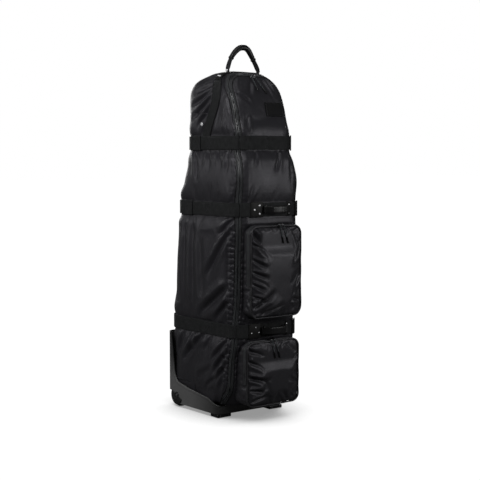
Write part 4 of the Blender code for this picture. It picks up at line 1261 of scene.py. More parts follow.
def build_buckle(level, z):
    """A side-release buckle: the male half rides with the flap."""
    low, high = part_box("buckle_female_" + level)
    thick = high.x - low.x
    female = box_piece("female_body_" + level, (low.x, low.y + 0.0002, low.z), high, 0.0030)
    hollow = box_piece("female_window", (high.x - 0.0016, low.y + 0.012, z - 0.016),
                       (high.x + 0.004, high.y - 0.014, z + 0.016), 0.0006)
    mouth = box_piece("female_mouth", (low.x + 0.0030, low.y - 0.01, z - 0.0235),
                      (high.x - 0.0030, high.y - 0.009, z + 0.0235), 0.0005)
    cut(female, hollow)
    cut(female, mouth)
    show(female, "root", TRIM_PLASTIC, ["buckle_female_" + level])
    low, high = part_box("buckle_male_" + level)
    shell = box_piece("male_shell", (low.x, low.y, low.z), (high.x, BUCKLE_SPLIT, high.z), 0.0030)
    slot = box_piece("male_slot", (low.x - 0.002, low.y + 0.006, z - 0.026),
                     (high.x + 0.002, low.y + 0.012, z + 0.026), 0.0004)
    cut(shell, slot)
    bars = [shell]
    for n, (offset, reach) in enumerate(((-0.0155, 0.030), (0.0, 0.026), (0.0155, 0.030))):
        bars.append(box_piece(f"male_prong_{n}", (low.x + 0.0046, BUCKLE_SPLIT - 0.003, z + offset - 0.0030),
                              (low.x + thick - 0.0046, BUCKLE_SPLIT + reach, z + offset + 0.0030), 0.0012))
    male = join("male_body_" + level, bars)
    show(male, "front_flap", TRIM_PLASTIC, ["buckle_male_" + level])


def bake(piece, modifier):
    """Makes what a modifier does permanent, and smooths the shading."""
    evaluated = piece.evaluated_get(bpy.context.evaluated_depsgraph_get())
    mesh = bpy.data.meshes.new_from_object(evaluated)
    piece.modifiers.remove(modifier)
    old = piece.data
    piece.data = mesh
    bpy.data.meshes.remove(old)
    mesh.shade_smooth()


def cut(piece, cutter):
    """Takes a cutter out of a piece for good."""
    modifier = piece.modifiers.new("cut", "BOOLEAN")
    modifier.operation = "DIFFERENCE"
    modifier.object = cutter
    modifier.solver = "EXACT"
    bake(piece, modifier)
    bpy.data.objects.remove(cutter)
    piece.data.set_sharp_from_angle(angle=math.radians(40))


# ---------------------------------------------------------------- zips
def zip_lines(grow, lift):
    """The line round the opening, a distance outside it, standing off the front."""
    line = opening_path(grow)
    points, out = on_front(line[:, 0], line[:, 1])
    return points + out * lift, out


def teeth(name, path, outward, pitch, length, width, height, offset):
    """Rows of small teeth that lie across a path."""
    path = resample(np.column_stack([path, outward]), pitch)
    points, out = path[:, :3], unit(path[:, 3:])
    along = unit(np.gradient(points, axis=0))
    across = unit(np.cross(along, out))
    block = np.array([(sx, sy, h) for h, s in ((0.0, 1.0), (1.0, 0.6)) for sx, sy in
                      ((-s, -s), (s, -s), (s, s), (-s, s))])
    vertices, faces = [], []
    for k in range(len(points)):
        start = len(vertices)
        centre = points[k] + across[k] * offset
        for sx, sy, h in block:
            vertices.append(centre + across[k] * sx * length / 2 + along[k] * sy * width / 2
                            + out[k] * height * h)
        faces += [(start + 4, start + 5, start + 6, start + 7), (start, start + 3, start + 2, start + 1)]
        faces += [(start + i, start + (i + 1) % 4, start + 4 + (i + 1) % 4, start + 4 + i) for i in range(4)]
    return add_mesh(name, vertices, faces, sharp_angle=30)


TAPE_OUTLINE = rounded_box_outline(0.0075, 0.0009, 0.0004, steps=2, middle=2)


def build_main_zip():
    """The zip round the front: the body's half and the flap's half."""
    lift = 0.0012
    for name, grow, body, side in (("zip_body", 0.0042, "root", 1),
                                   ("zip_flap", -0.0048, "front_flap", -1)):
        path, out = zip_lines(grow, lift)
        tape = sweep(name + "_tape", path, out, TAPE_OUTLINE)
        show(tape, body, TAPE, ["main_zip"] if body == "root" else ())
        edge, out = zip_lines(side * 0.0016, lift + 0.0007)
        row = teeth(name + "_teeth", edge, out, 0.0026, 0.0030, 0.0014, 0.0011, 0.0)
        show(row, body, COIL)
        # A near-black cord along the tape's outer edge, its colour painted shadow for the dark line where the tape
        # meets the cloth.
        shadow_cord_path, out = zip_lines(side * 0.0084, lift - 0.0002)
        cord = sweep(name + "_binding", shadow_cord_path, out, rounded_box_outline(0.0030, 0.0022, 0.0009, 2, 1))
        show(cord, body, SHADOW_CORD)
        seam_path, out = zip_lines(side * 0.0056, lift + 0.0005)
        show(stitch_row(name + "_stitches", seam_path, out), body, THREAD)
    for sign, side in ((-1, "left"), (1, "right")):
        x = sign * float(opening_half_width(0.056))
        point, out = on_front(np.array([x]), np.array([0.058]))
        stop = box_piece("zip_stop_" + side, point[0] - (0.005, 0.004, 0.003),
                         point[0] + (0.005, 0.001, 0.003), 0.0010)
        show(stop, "root", COIL)


# ---------------------------------------------------------------- pockets
def pocket_outline(width, low, high, grow=0.0, radius=0.030, spacing=0.005):
    """Points (x, z) round a pocket, seen from the front, starting at the bottom's middle."""
    radius = radius + grow
    across, top, bottom = width + grow - radius, high + grow - radius, low - grow + radius
    points = [(0.0, low - grow)]
    for x, z, start in ((across, bottom, 270), (across, top, 0),
                        (-across, top, 90), (-across, bottom, 180)):
        points += [(x + radius * math.cos(a), z + radius * math.sin(a))
                   for a in np.radians(np.linspace(start, start + 90, 12))]
    points.append((0.0, low - grow))
    return resample(points, spacing)


# Creases on each pocket's face: x and z at the start and end, half widths, depth.
POCKET_FOLDS = {
    "upper": [
        (-0.100, 0.676, -0.040, 0.590, 0.008, 0.016, 0.0110),
        (-0.104, 0.640, -0.060, 0.612, 0.005, 0.009, 0.0065),
        (-0.104, 0.585, -0.055, 0.555, 0.005, 0.009, 0.0065),
        (-0.104, 0.540, -0.050, 0.520, 0.005, 0.009, 0.0060),
        (-0.104, 0.498, -0.060, 0.478, 0.005, 0.008, 0.0060),
        (-0.102, 0.455, -0.070, 0.445, 0.004, 0.007, 0.0050),
        (-0.098, 0.415, -0.020, 0.470, 0.008, 0.014, 0.0080),
        (-0.060, 0.392, 0.020, 0.425, 0.007, 0.012, 0.0055),
        (0.100, 0.640, 0.070, 0.560, 0.007, 0.012, 0.0055),
        (0.102, 0.520, 0.080, 0.480, 0.005, 0.009, 0.0045),
        (0.100, 0.430, 0.060, 0.440, 0.006, 0.010, 0.0050),
        (0.050, 0.684, 0.030, 0.630, 0.006, 0.010, 0.0050),
    ],
    "lower": [
        (-0.108, 0.262, -0.030, 0.236, 0.007, 0.012, 0.0080),
        (-0.108, 0.222, -0.035, 0.190, 0.007, 0.012, 0.0085),
        (-0.108, 0.165, -0.040, 0.148, 0.007, 0.011, 0.0080),
        (-0.104, 0.118, -0.050, 0.112, 0.005, 0.010, 0.0060),
        (-0.100, 0.080, -0.030, 0.096, 0.006, 0.010, 0.0055),
        (0.108, 0.230, 0.060, 0.200, 0.006, 0.011, 0.0055),
        (0.108, 0.130, 0.060, 0.150, 0.006, 0.010, 0.0055),
        (0.060, 0.070, 0.030, 0.110, 0.006, 0.010, 0.0045),
        (0.040, 0.276, 0.030, 0.240, 0.006, 0.009, 0.0040),
    ],
}


def pocket_form(name, width, low, high, face):
    """The pocket's closed form: a gusset, a soft front edge and a crowned face."""
    back = POCKET_BACK[name]
    rings = []
    for t in np.linspace(0, 1, 9):
        outline = pocket_outline(width, low, high, -0.0035 + 0.0020 * math.sin(math.pi * t))
        rings.append(np.column_stack([outline[:-1, 0], np.full(len(outline) - 1, back + (face + 0.006 - back) * t),
                                      outline[:-1, 1]]))
    for inset, out in ((0.003, -0.0015), (0.007, 0.0005)):
        outline = pocket_outline(width, low, high, -0.0035 - inset)
        rings.append(np.column_stack([outline[:-1, 0], np.full(len(outline) - 1, face + 0.005 - out),
                                      outline[:-1, 1]]))
    count = min(len(r) for r in rings)
    rings = [resample(np.vstack([r, r[:1]]), 1e-9 + perimeter(r) / count)[:count] for r in rings]
    vertices = np.concatenate(rings)
    faces = grid_faces(len(rings), count, wrap=True)
    faces += [tuple(range(count)), tuple(range((len(rings) - 1) * count, len(rings) * count))]
    piece = add_mesh(name + "_pocket_skin", vertices, faces)
    fix_normals(piece)
    return piece


def perimeter(points):
    """Length of a closed outline."""
    return float(np.linalg.norm(np.diff(np.vstack([points, points[:1]]), axis=0), axis=1).sum())


def read_points(piece):
    """A piece's points, one row each."""
    co = np.empty(len(piece.data.vertices) * 3)
    piece.data.vertices.foreach_get("co", co)
    return co.reshape(-1, 3)


def read_normals(piece):
    """The directions out of a piece at its points."""
    normal = np.empty(len(piece.data.vertices) * 3)
    piece.data.vertices.foreach_get("normal", normal)
    return normal.reshape(-1, 3)


def write_points(piece, points):
    """Moves a piece's points."""
    piece.data.vertices.foreach_set("co", np.asarray(points, np.float32).ravel())
    piece.data.update()


def remesh(piece, voxel):
    """Replaces a closed form's mesh by an even one."""
    modifier = piece.modifiers.new("remesh", "REMESH")
    modifier.mode = "VOXEL"
    modifier.voxel_size = voxel
    bake(piece, modifier)


def build_pocket(level):
    """A zipped pocket on the flap, with its piping, zip and rain flap."""
    width, low, high, face = POCKETS[level]
    piece = pocket_form(level, width, low, high, face)
    remesh(piece, 0.0045)
    co, normal = read_points(piece), read_normals(piece)
    x, y, z = co.T
    inside = np.minimum(width - np.abs(x), np.minimum(z - low, high - z))
    on_face = smooth_step(0.5, 0.9, -normal[:, 1])
    crown = 0.0075 * smooth_step(0.004, 0.060, inside) * on_face
    crease = 1.35 * sum(fold(x, z, line) for line in POCKET_FOLDS[level])
    crease = crease * smooth_step(0.003, 0.013, inside) * on_face
    seed = {"upper": 41, "lower": 47}[level]
    small = crumple(co * 1.3, seed, 0.0022) * smooth_step(0.003, 0.020, inside) * on_face
    gusset = (1 - on_face) * smooth_step(face + 0.004, face + 0.010, y) * smooth_step(0.0, 0.02, -0.150 - y)
    around = np.arctan2(z - (low + high) / 2, x) * 0.18
    rib = value_noise(np.stack([around * 60, y * 20, np.zeros_like(x)], -1), seed + 2) * 0.0022 * gusset
    write_points(piece, co + normal * (crown + crease + small + rib)[:, None])

    edge = bump(np.hypot(np.maximum(inside, 0) - 0.003, y - face - 0.005), 0.006)
    pins = np.clip(np.maximum(0.9 * edge, smooth_step(face + 0.030, face + 0.040, y)), 0, 1)
    before = read_points(piece)
    after = run_cloth(piece, pins, 2.2, 0.045, 20, 0.25)
    write_points(piece, move_up_to(before, after, POCKET_SWELL))
    # The face lies nearly flat behind the pulls, wherever the sliders take them.
    co = read_points(piece)
    reach = PULL_REACH[level]
    across = smooth_step(reach + 0.020, reach - 0.014, np.abs(co[:, 0]))
    behind_pulls = across * smooth_step(high - 0.118, high - 0.068, co[:, 2])
    furthest = face + 0.0010 - 0.016 * (1 - behind_pulls)
    past = np.maximum(furthest - co[:, 1], 0.0)
    co[:, 1] += past - 0.0016 * np.tanh(past / 0.0016)
    write_points(piece, co)
    modifier = piece.modifiers.new("smooth", "SUBSURF")
    modifier.levels = modifier.render_levels = 1
    show(piece, "front_flap", POCKET, [level + "_pocket"])

    # Piping round the face, the zip in the gusset, and its rain flap.
    outline = pocket_outline(width, low, high, -0.0010, spacing=0.004)[:-1]
    path = np.column_stack([outline[:, 0], np.full(len(outline), face + 0.0058), outline[:, 1]])
    wave = value_noise(path * 26.0, seed + 7) * 0.0016
    centre = np.array((0.0, face + 0.02, (low + high) / 2))
    out = unit((path - centre) * (1, 0, 1))
    path = path + out * wave[:, None] * 0.6 + np.array((0, -1, 0)) * (wave * 0.5)[:, None]
    piping = sweep(level + "_piping", path, out, circle(0.0027, 10), closed=True)
    show(piping, "front_flap", PIPING)
    flange = sweep(level + "_piping_seam", path + out * 0.0002 + np.array((0, 0.0042, 0)), out,
                   rounded_box_outline(0.0060, 0.0024, 0.0010, steps=2, middle=2), closed=True)
    show(flange, "front_flap", PIPING)

    start = low + 0.35 * (high - low)
    line = pocket_outline(width, low, high, 0.0006, spacing=0.004)
    line = line[line[:, 1] > start]
    path = np.column_stack([line[:, 0], np.full(len(line), face + 0.021), line[:, 1]])
    out = unit((path - centre) * (1, 0, 1))
    tape = sweep(level + "_zip_tape", path, out,
                 rounded_box_outline(0.016, 0.0012, 0.0005, steps=2, middle=3))
    show(tape, "front_flap", TAPE, [level + "_pocket_zip"])
    for n, offset in ((0, -0.0014), (1, 0.0014)):
        row = teeth(f"{level}_zip_teeth_{n}", path + out * 0.0005, out,
                    0.0024, 0.0026, 0.0013, 0.0011, offset)
        show(row, "front_flap", COIL)
    for n, offset in ((0, -0.0095), (1, 0.0095)):
        welt = sweep(f"{level}_zip_welt_{n}", path + out * 0.0004 + np.array((0, offset, 0)), out,
                     rounded_box_outline(0.0055, 0.0026, 0.0011, steps=3, middle=2))
        show(welt, "front_flap", POCKET)


# ---------------------------------------------------------------- handles and their plates
def build_haul_handle(level):
    """A padded haul handle on the front, between two riveted plates."""
    z = STRAPS[level]
    for side in ("left", "right"):
        low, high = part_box(f"{level}_plate_{side}")
        width, tall, thick = high.x - low.x, high.z - low.z, high.y - low.y
        origin = ((low.x + high.x) / 2, high.y, z)
        outline = rounded_box_outline(width, tall, 0.0045, steps=5, middle=0)
        plate = plate_piece("plate", outline, thick - 0.0003, 0.0011, origin, (1, 0, 0), (0, 0, 1))
        outline = rounded_box_outline(width - 0.007, tall - 0.007, 0.0035, steps=5, middle=0)
        rim = plate_piece("rim", outline, 0.0010, 0.0005, (origin[0], low.y + 0.0004, z),
                          (1, 0, 0), (0, 0, 1))
        plate = join(f"{level}_mount_{side}", [plate, rim])
        show(plate, "front_flap", PLATE_PLASTIC, [f"{level}_plate_{side}"])
        face = low.y - 0.0002
        if side == "left":
            spots = [(origin[0] - 0.012, face, z), (origin[0] + 0.010, face, z + 0.0145),
                     (origin[0] + 0.010, face, z - 0.0145)]
            if level == "lower":
                spots = [(origin[0] + 0.002, face, z + 0.013), (origin[0] - 0.016, face, z - 0.006),
                         (origin[0] + 0.016, face, z - 0.006)]
            radius = 0.0036 if level == "mid" else 0.0026
        else:
            spots = [(origin[0], face, z + 0.0150), (origin[0], face, z - 0.0150)]
            radius = 0.0026
        studs = dome_studs(f"{level}_rivets_{side}", spots, (0, -1, 0), radius, 0.0018)
        show(studs, "front_flap", RIVET_METAL)

    low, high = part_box(level + "_handle")
    axis_y = high.y - 0.0045
    grip_path = resample([(low.x + 0.001 + (high.x - low.x - 0.002) * t,
                           axis_y - 0.020 * math.sin(math.pi * t) ** 0.6, z) for t in np.linspace(0, 1, 60)],
                         0.0015)
    out = np.tile((0.0, -1.0, 0.0), (len(grip_path), 1))

    def shape(t):
        middle = smooth_step(0.10, 0.24, t) * (1 - smooth_step(0.76, 0.90, t))
        height = 0.024 + 0.002 * middle
        thick = 0.0042 + 0.0062 * middle
        ribs = 0.0005 * middle * math.sin(t * 2 * math.pi * 16)
        return rounded_box_outline(height + ribs, thick + ribs, thick * 0.42, steps=5, middle=4)

    grip = sweep(level + "_grip", grip_path, out, shape)
    show(grip, level + "_handle", GRIP_RUBBER, [level + "_handle"])
    # A webbing loop round each end of the grip, through its plate.
    for n, x in enumerate((low.x + 0.0068, high.x - 0.0068)):
        ring_path = [(x, axis_y + 0.0005 + 0.0058 * math.cos(a), z + 0.0145 * math.sin(a))
                     for a in np.linspace(0, 2 * math.pi, 25)[:-1]]
        loop = sweep(f"{level}_loop_{n}", ring_path, unit(np.array(ring_path) - (x, axis_y, z)),
                     rounded_box_outline(0.0075, 0.0026, 0.0008, steps=2, middle=2), closed=True)
        show(loop, level + "_handle", TRIM_PLASTIC)


# The top handle's middle line, x and z, from its left end to its right end.
HANDLE_LINE = np.array([
    (-0.0700, HANDLE_PIVOT_Z), (-0.0650, 1.2700), (-0.0545, 1.2950), (-0.0400, 1.3150), (-0.0240, 1.3290),
    (-0.0080, 1.3365), (0.0060, 1.3370), (0.0200, 1.3310), (0.0350, 1.3130), (0.0500, 1.2880),
    (0.0620, 1.2680), (0.0700, HANDLE_PIVOT_Z)])
HANDLE_SHARE = np.concatenate([[0.0], np.cumsum(np.hypot(*np.diff(HANDLE_LINE, axis=0).T))])


def handle_arch(t):
    """A point on the top handle's middle line, for t from -1 (left end) to 1."""
    at = np.array([(t + 1) / 2 * HANDLE_SHARE[-1]])
    x, z = monotone_curve(HANDLE_SHARE, HANDLE_LINE, at)[0]
    return (x, HANDLE_Y, z)


def build_top_handle():
    """The rubber grip and the webbing leg at each of its ends."""
    grip_end = 0.60                   # as a share of the way to each end
    path = resample([handle_arch(t) for t in np.linspace(-grip_end, grip_end, 80)], 0.0015)
    centre = np.array((0.0, HANDLE_Y, 1.26))
    out = unit(path - centre)

    def grip_shape(t):
        lips = bump(t - 0.02, 0.022) + bump(t - 0.98, 0.022)
        groove = bump(t - 0.07, 0.012) + bump(t - 0.93, 0.012)
        swell = 0.0022 * math.sin(math.pi * t)
        size = 0.0094 + swell + 0.0016 * lips - 0.0008 * groove
        return circle(size, 20, 0.90)

    grip = sweep("top_grip", path, out, grip_shape)
    show(grip, "top_handle", GRIP_RUBBER, ["top_handle_grip"])
    swell = 0.9 + 0.2 * np.sin(np.linspace(0, math.pi, len(path)))
    seam_path = path + np.array((0, -0.0108, 0)) * swell[:, None]
    seam = sweep("top_grip_seam", seam_path[6:-6], (0.0, -1.0, 0.0), circle(0.0009, 6))
    show(seam, "top_handle", GRIP_RUBBER)
    for side, sign in (("left", -1), ("right", 1)):
        leg = resample([handle_arch(sign * t) for t in np.linspace(grip_end - 0.03, 1.0, 30)], 0.002)
        leg_out = unit(leg - centre)

        def leg_shape(t):
            width = (0.0225 + 0.0045 * t) * (1 - 0.30 * smooth_step(0.70, 0.98, t))
            return rounded_box_outline(width, 0.0042 - 0.0012 * t, 0.0012, steps=3, middle=4)

        strap = sweep("top_leg_" + side, leg, leg_out, leg_shape)
        show(strap, "top_handle", STRAP, ["top_handle_leg_" + side])
        rows = [stitch_row(f"leg_row_{side}_{n}", (leg + np.array((0, dy, 0)) + leg_out * 0.0016)[2:-3],
                           leg_out[2:-3], 0.0036, 0.0004) for n, dy in ((0, -0.0060), (1, 0.0060))]
        show(join("top_leg_stitches_" + side, rows), "top_handle", THREAD)
        foot = len(leg) - 2
        rivet = dome_studs("top_leg_rivet_" + side, [leg[foot] + leg_out[foot] * 0.0016], leg_out[foot],
                           0.0046, 0.0026)
        show(rivet, "top_handle", RIVET_METAL)
        build_shoulder(side, sign)


def build_shoulder(side, sign):
    """The riveted plate at one end of the top handle, and the webbing from it to the upper strap."""
    z = heights_between(1.2160, 1.2392, 0.0025)[::-1]
    points, out = on_side(sign, np.full_like(z, -0.0225), z)
    path = points + out * 0.0046
    plate = sweep("shoulder_plate_" + side, path, out,
                  lambda t: rounded_box_outline(0.034 - 0.005 * abs(2 * t - 1), 0.0028, 0.0010,
                                                steps=3, middle=4))
    show(plate, "root", PLATE_PLASTIC, ["handle_plate_" + side])
    middle = len(z) // 2
    spots = [path[k] + out[k] * 0.0014 + (0, dy, 0) for k, dy in ((middle, 0.006), (middle + 1, -0.006))]
    rivets = dome_studs("shoulder_rivets_" + side, spots, out[middle], 0.0044, 0.0026)
    show(rivets, "root", RIVET_METAL)

    # The tab that the leg's end turns on, at its rivet.
    turn = [(0.0088 * math.cos(a), 0.0088 * math.sin(a)) for a in np.radians(np.linspace(0, 180, 15))]
    tab = plate_piece("shoulder_tab_" + side, [(-0.0100, -0.0110), (0.0100, -0.0110)] + turn,
                      0.0014, 0.0004, (sign * 0.0667, HANDLE_Y, HANDLE_PIVOT_Z), (0, sign, 0), (0, 0, 1))
    show(tab, "root", PLATE_PLASTIC)

    z = heights_between(STRAPS["upper"] + WEBBING / 2 - 0.004, 1.2265, 0.003)[::-1]
    share = np.linspace(0, 1, len(z))
    half = 0.011 + 0.0135 * smooth_step(0.0, 0.16, share)
    across = np.linspace(-1, 1, 17)
    y = side_webbing_y(z)[:, None] + half[:, None] * across
    points, out = on_side(sign, y, np.broadcast_to(z[:, None], y.shape))
    lift = 0.0034 + 0.0006 * np.sin(share * 15)[:, None] - 0.0010 * np.abs(across) ** 8
    strip = add_mesh("shoulder_webbing_" + side, points + out * lift[..., None], grid_faces(*y.shape))
    face_outwards(strip)
    show(strip, "root", STRAP, ["side_webbing_" + side])
    thicken(strip, 0.0022)
    rows = [stitch_row(f"row_{side}_{n}", (points + out * 0.0042)[8:-4, c], out[8:-4, c])
            for n, c in ((0, 1), (1, 15))]
    show(join("shoulder_stitches_" + side, rows), "root", THREAD)

    # A vent eyelet low on each shoulder, behind the webbing.
    point, out = on_side(sign, np.array([0.033]), np.array([1.060]))
    ring = ring_piece("eyelet_" + side, point[0] + out[0] * 0.0055, out[0], 0.0044, 0.0022)
    show(ring, "root", RIVET_METAL)


def ring_piece(name, centre, out, radius, thick):
    """A round ring that lies flat on a surface."""
    side = unit(np.cross(out, (0.0, 0.0, 1.0)))
    up = np.cross(out, side)
    path = [centre + radius * (math.cos(a) * side + math.sin(a) * up)
            for a in np.linspace(0, 2 * math.pi, 25)[:-1]]
    return sweep(name, path, out, circle(thick, 8, 0.7), closed=True)


# ---------------------------------------------------------------- sliders and pulls
def build_slider(name):
    """One zip slider and its corded pull."""
    low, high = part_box(name + "_slider")
    centre = (low + high) / 2
    size = high - low
    shell = box_piece("shell", low, (high.x, high.y, low.z + size.z * 0.55), 0.0012)
    bridge_path = [(centre.x, centre.y + size.y * 0.36 * math.cos(a), low.z + size.z * (0.50 + 0.42 * math.sin(a)))
                   for a in np.linspace(0, math.pi, 14)]
    bridge = sweep("bridge", bridge_path, np.tile((1.0, 0.0, 0.0), (14, 1)), circle(0.0011, 8))
    slider = join(name + "_body", [shell, bridge])
    show(slider, name + "_slider", DARK_METAL, [name + "_slider"])

    # The CAD pull is a straight cord with a moulded end.
    pull = nodes[name + "_pull"].data
    co = np.array([v.co[:] for v in pull.vertices])
    top = co[co[:, 2] > co[:, 2].max() - 0.0035].mean(0)
    end = co[co[:, 2] < co[:, 2].min() + 0.0035].mean(0)
    along = end - top
    length = np.linalg.norm(along)
    along = along / length
    side = unit(np.cross(along, (0.0, 1.0, 0.0)))
    other = np.cross(along, side)
    strands = []
    for n in range(2):
        t = np.linspace(0.0, 0.74, 90)
        turn = t * 2 * math.pi * 9 + n * math.pi
        twist = np.outer(np.cos(turn), side) + np.outer(np.sin(turn), other)
        path = top + np.outer(t * length, along) + 0.00095 * twist
        strands.append(sweep(f"strand_{n}", path, side, circle(0.00115, 7)))
    cord = join(name + "_cord", strands)
    show(cord, name + "_pull", CORD)
    grip_path = resample([top + along * length * 0.66, end + along * 0.0008], 0.0012)

    def shape(t):
        size = 0.0018 + 0.0012 * smooth_step(0.0, 0.12, t) - 0.0006 * smooth_step(0.85, 1.0, t)
        size += 0.00018 * math.sin(t * 2 * math.pi * 8)
        return circle(size, 12, 0.8)

    tip = sweep(name + "_tip", grip_path, np.tile(side, (len(grip_path), 1)), shape)
    show(tip, name + "_pull", GRIP_RUBBER, [name + "_pull"])


# ---------------------------------------------------------------- badge, boot, wheels and feet
def build_patch():
    """A blank rubber patch with a raised rim."""
    low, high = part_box("front_patch")
    rows, columns = 26, 34
    z = np.linspace(high.z - 0.0005, low.z + 0.0005, rows)
    x = np.linspace(low.x, high.x, columns)
    grid_x, grid_z = np.meshgrid(x, z)
    points, out = on_front(grid_x, grid_z)
    inside = np.minimum(np.minimum(grid_x - low.x, high.x - grid_x),
                        np.minimum(grid_z - low.z, high.z - grid_z))
    lift = 0.0040 * smooth_step(-0.001, 0.0022, inside) + 0.0010 * bump(inside - 0.0036, 0.0020)
    grid = points + out * (lift + 0.0006)[..., None]
    piece = add_mesh("badge", grid, grid_faces(rows, columns))
    fix_normals(piece)
    show(piece, "front_flap", PATCH_RUBBER, ["front_patch"])
    thicken(piece, 0.002)
    edge, outs = (np.concatenate([rows[1, 1:-1], rows[1:-1, -2], rows[-2, -2:0:-1], rows[-2:0:-1, 1]])
                  for rows in (grid, out))
    show(stitch_row("badge_stitches", edge, outs, 0.004, 0.0004), "front_flap", THREAD)


def boot_rim_line():
    """The boot's rim seen from the side, (y, z), from the front to the back."""
    rim = [(-0.078, 0.042), (-0.022, 0.064), (0.100, 0.080)]
    rim += list(arc(0.128, 0.142, 0.060, -55, -8, 9))
    rim += [(0.196, 0.200), (0.208, 0.2815)]
    return resample(rim, 0.003)


def boot_side(sign, y, z):
    """The boot's outer wall at a y, on one side."""
    start, end, radius = BOOT_FRONT + BOOT_RADIUS, BOOT_BACK - BOOT_RADIUS, BOOT_RADIUS
    width = np.interp(y, (start, end), BOOT_HALF_WIDTH)
    over = np.clip(np.maximum(start - y, y - end), 0, radius * 0.999)
    x = width - radius + np.sqrt(radius ** 2 - over ** 2)
    return np.stack([sign * x, y, z], axis=-1)


def dress_node(name, material):
    """Gives a CAD node that stays as it is its material."""
    node = nodes[name]
    node.data.materials.clear()
    node.data.materials.append(material)
    return node


def build_boot():
    """The moulded boot's looks: soft edges, a rim with stitches, and skid ribs down its back."""
    boot = dress_node("base_boot", BOOT_PLASTIC_PAINTED_SHADE)
    edge = boot.modifiers.new("soft_edges", "BEVEL")
    edge.width = 0.0014
    edge.segments = 2
    edge.limit_method = "ANGLE"
    edge.angle_limit = math.radians(40)
    line = boot_rim_line()
    for side, sign in (("left", -1), ("right", 1)):
        rim = boot_side(sign, line[:, 0], line[:, 1])
        up = np.gradient(line, axis=0)
        out = unit(np.column_stack([np.zeros(len(line)), -up[:, 1], up[:, 0]]))
        bead = sweep("boot_rim_" + side, rim - (sign * 0.0022, 0.0, 0.0), out,
                     rounded_box_outline(0.0058, 0.0050, 0.0022, steps=4, middle=1))
        show(bead, "root", BOOT_PLASTIC_PAINTED_SHADE)
        stitches = stitch_row("boot_stitches_" + side, (rim - out * 0.0062)[3:-2], (float(sign), 0.0, 0.0),
                              0.0052, 0.0006)
        show(stitches, "root", THREAD)

    def rib_shape(t):
        height = 0.0044 * (0.35 + 0.65 * math.sin(math.pi * min(1, max(0, t))) ** 0.3)
        return rounded_box_outline(0.010, height, 0.0015, steps=3, middle=2)

    for n, x in enumerate((-0.075, -0.025, 0.025, 0.075)):
        spine = resample([(x, 0.2370, 0.262), (x, 0.2372, 0.070)], 0.006)
        rib = sweep(f"skid_rib_{n}", spine, (0.0, 1.0, 0.0), rib_shape)
        show(rib, "root", BOOT_PLASTIC_PAINTED_SHADE)


def build_wheels():
    """A tyre, a spoked hub and an axle cap on each side."""
    for side, sign in (("left", -1), ("right", 1)):
        centre = np.array((sign * WHEEL_X, WHEEL_Y, WHEEL_RADIUS))
        half = WHEEL_WIDTH / 2
        tread = [(0.0302, -half), (0.0375, -half), (0.0405, -half + 0.0012), (0.0425, -half + 0.0042),
                 (WHEEL_RADIUS, -0.0030), (0.0422, -0.0022), (0.0422, 0.0022), (WHEEL_RADIUS, 0.0030),
                 (0.0425, half - 0.0042), (0.0405, half - 0.0012), (0.0375, half), (0.0302, half)]
        tyre = turned("tyre_tread_" + side, tread, centre, 96)
        show(tyre, "wheel_" + side, TYRE_RUBBER, ["tyre_" + side])
        bore, edge = 0.0043, 0.0298
        hub = [(bore, -half), (0.0095, -half), (0.0110, -half + 0.0015), (0.0125, -half + 0.0055),
               (0.0240, -half + 0.0060), (0.0275, -half + 0.0012), (edge, -half + 0.0008),
               (edge, half - 0.0008), (0.0275, half - 0.0012), (0.0240, half - 0.0060),
               (0.0125, half - 0.0055), (0.0110, half - 0.0015), (0.0095, half), (bore, half)]
        disc = turned("hub_disc_" + side, hub, centre, 64)
        spokes = [disc]
        for k in range(6):
            a = math.radians(60 * k + 15)
            for face in (-1, 1):
                path = [centre + (face * (half - 0.0040), r * math.cos(a), r * math.sin(a))
                        for r in np.linspace(0.0105, 0.0268, 8)]
                spokes.append(sweep("spoke", path, (float(face), 0.0, 0.0),
                                    rounded_box_outline(0.0042, 0.0036, 0.0012, steps=3, middle=1)))
        show(join("hub_spokes_" + side, spokes), "wheel_" + side, TRIM_PLASTIC,
             ["hub_" + side])
        dress_node("axle_" + side, DARK_METAL)
        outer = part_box("axle_" + side)[0 if sign < 0 else 1].x
        cap = dome_studs("axle_cap_" + side, [(outer - sign * 0.0004, WHEEL_Y, WHEEL_RADIUS)], (sign, 0, 0),
                         0.0062, 0.0016, 24)
        show(cap, "root", DARK_METAL)


def build_wheel_caps():
    """A dark cap on the boot's disc over each wheel, below the line where the pale side ends."""
    for side, sign in (("left", -1), ("right", 1)):
        angles = np.radians(np.linspace(200, 388, 36))
        outline = [(sign * 0.0352 * math.cos(a), 0.0352 * math.sin(a)) for a in angles]
        if sign < 0:
            outline = outline[::-1]
        wall = float(boot_side(sign, np.array([WHEEL_Y]), np.array([0.0]))[0, 0])
        cap = plate_piece("wheel_cap_" + side, outline, 0.0022, 0.0009, (wall, WHEEL_Y, WHEEL_RADIUS),
                          (0, sign, 0), (0, 0, 1))
        ring = turned("cap_ring", [(0.0090, 0.0), (0.0090, 0.0030), (0.0115, 0.0034), (0.0130, 0.0)] if sign > 0 else
                      [(0.0130, 0.0), (0.0115, -0.0034), (0.0090, -0.0030), (0.0090, 0.0)],
                      np.array((wall, WHEEL_Y, WHEEL_RADIUS)), 48)
        show(join("wheel_cap_" + side, [cap, ring]), "root", TYRE_RUBBER)


def turned(name, profile, centre, steps):
    """A closed ring about an axle along X: (radius, offset) points."""
    vertices, size = [], len(profile)
    for k in range(steps):
        a = 2 * math.pi * k / steps
        vertices += [centre + (offset, radius * math.cos(a), radius * math.sin(a))
                     for radius, offset in profile]
    piece = add_mesh(name, vertices, loop_faces(steps, size), sharp_angle=35)
    fix_normals(piece)
    return piece


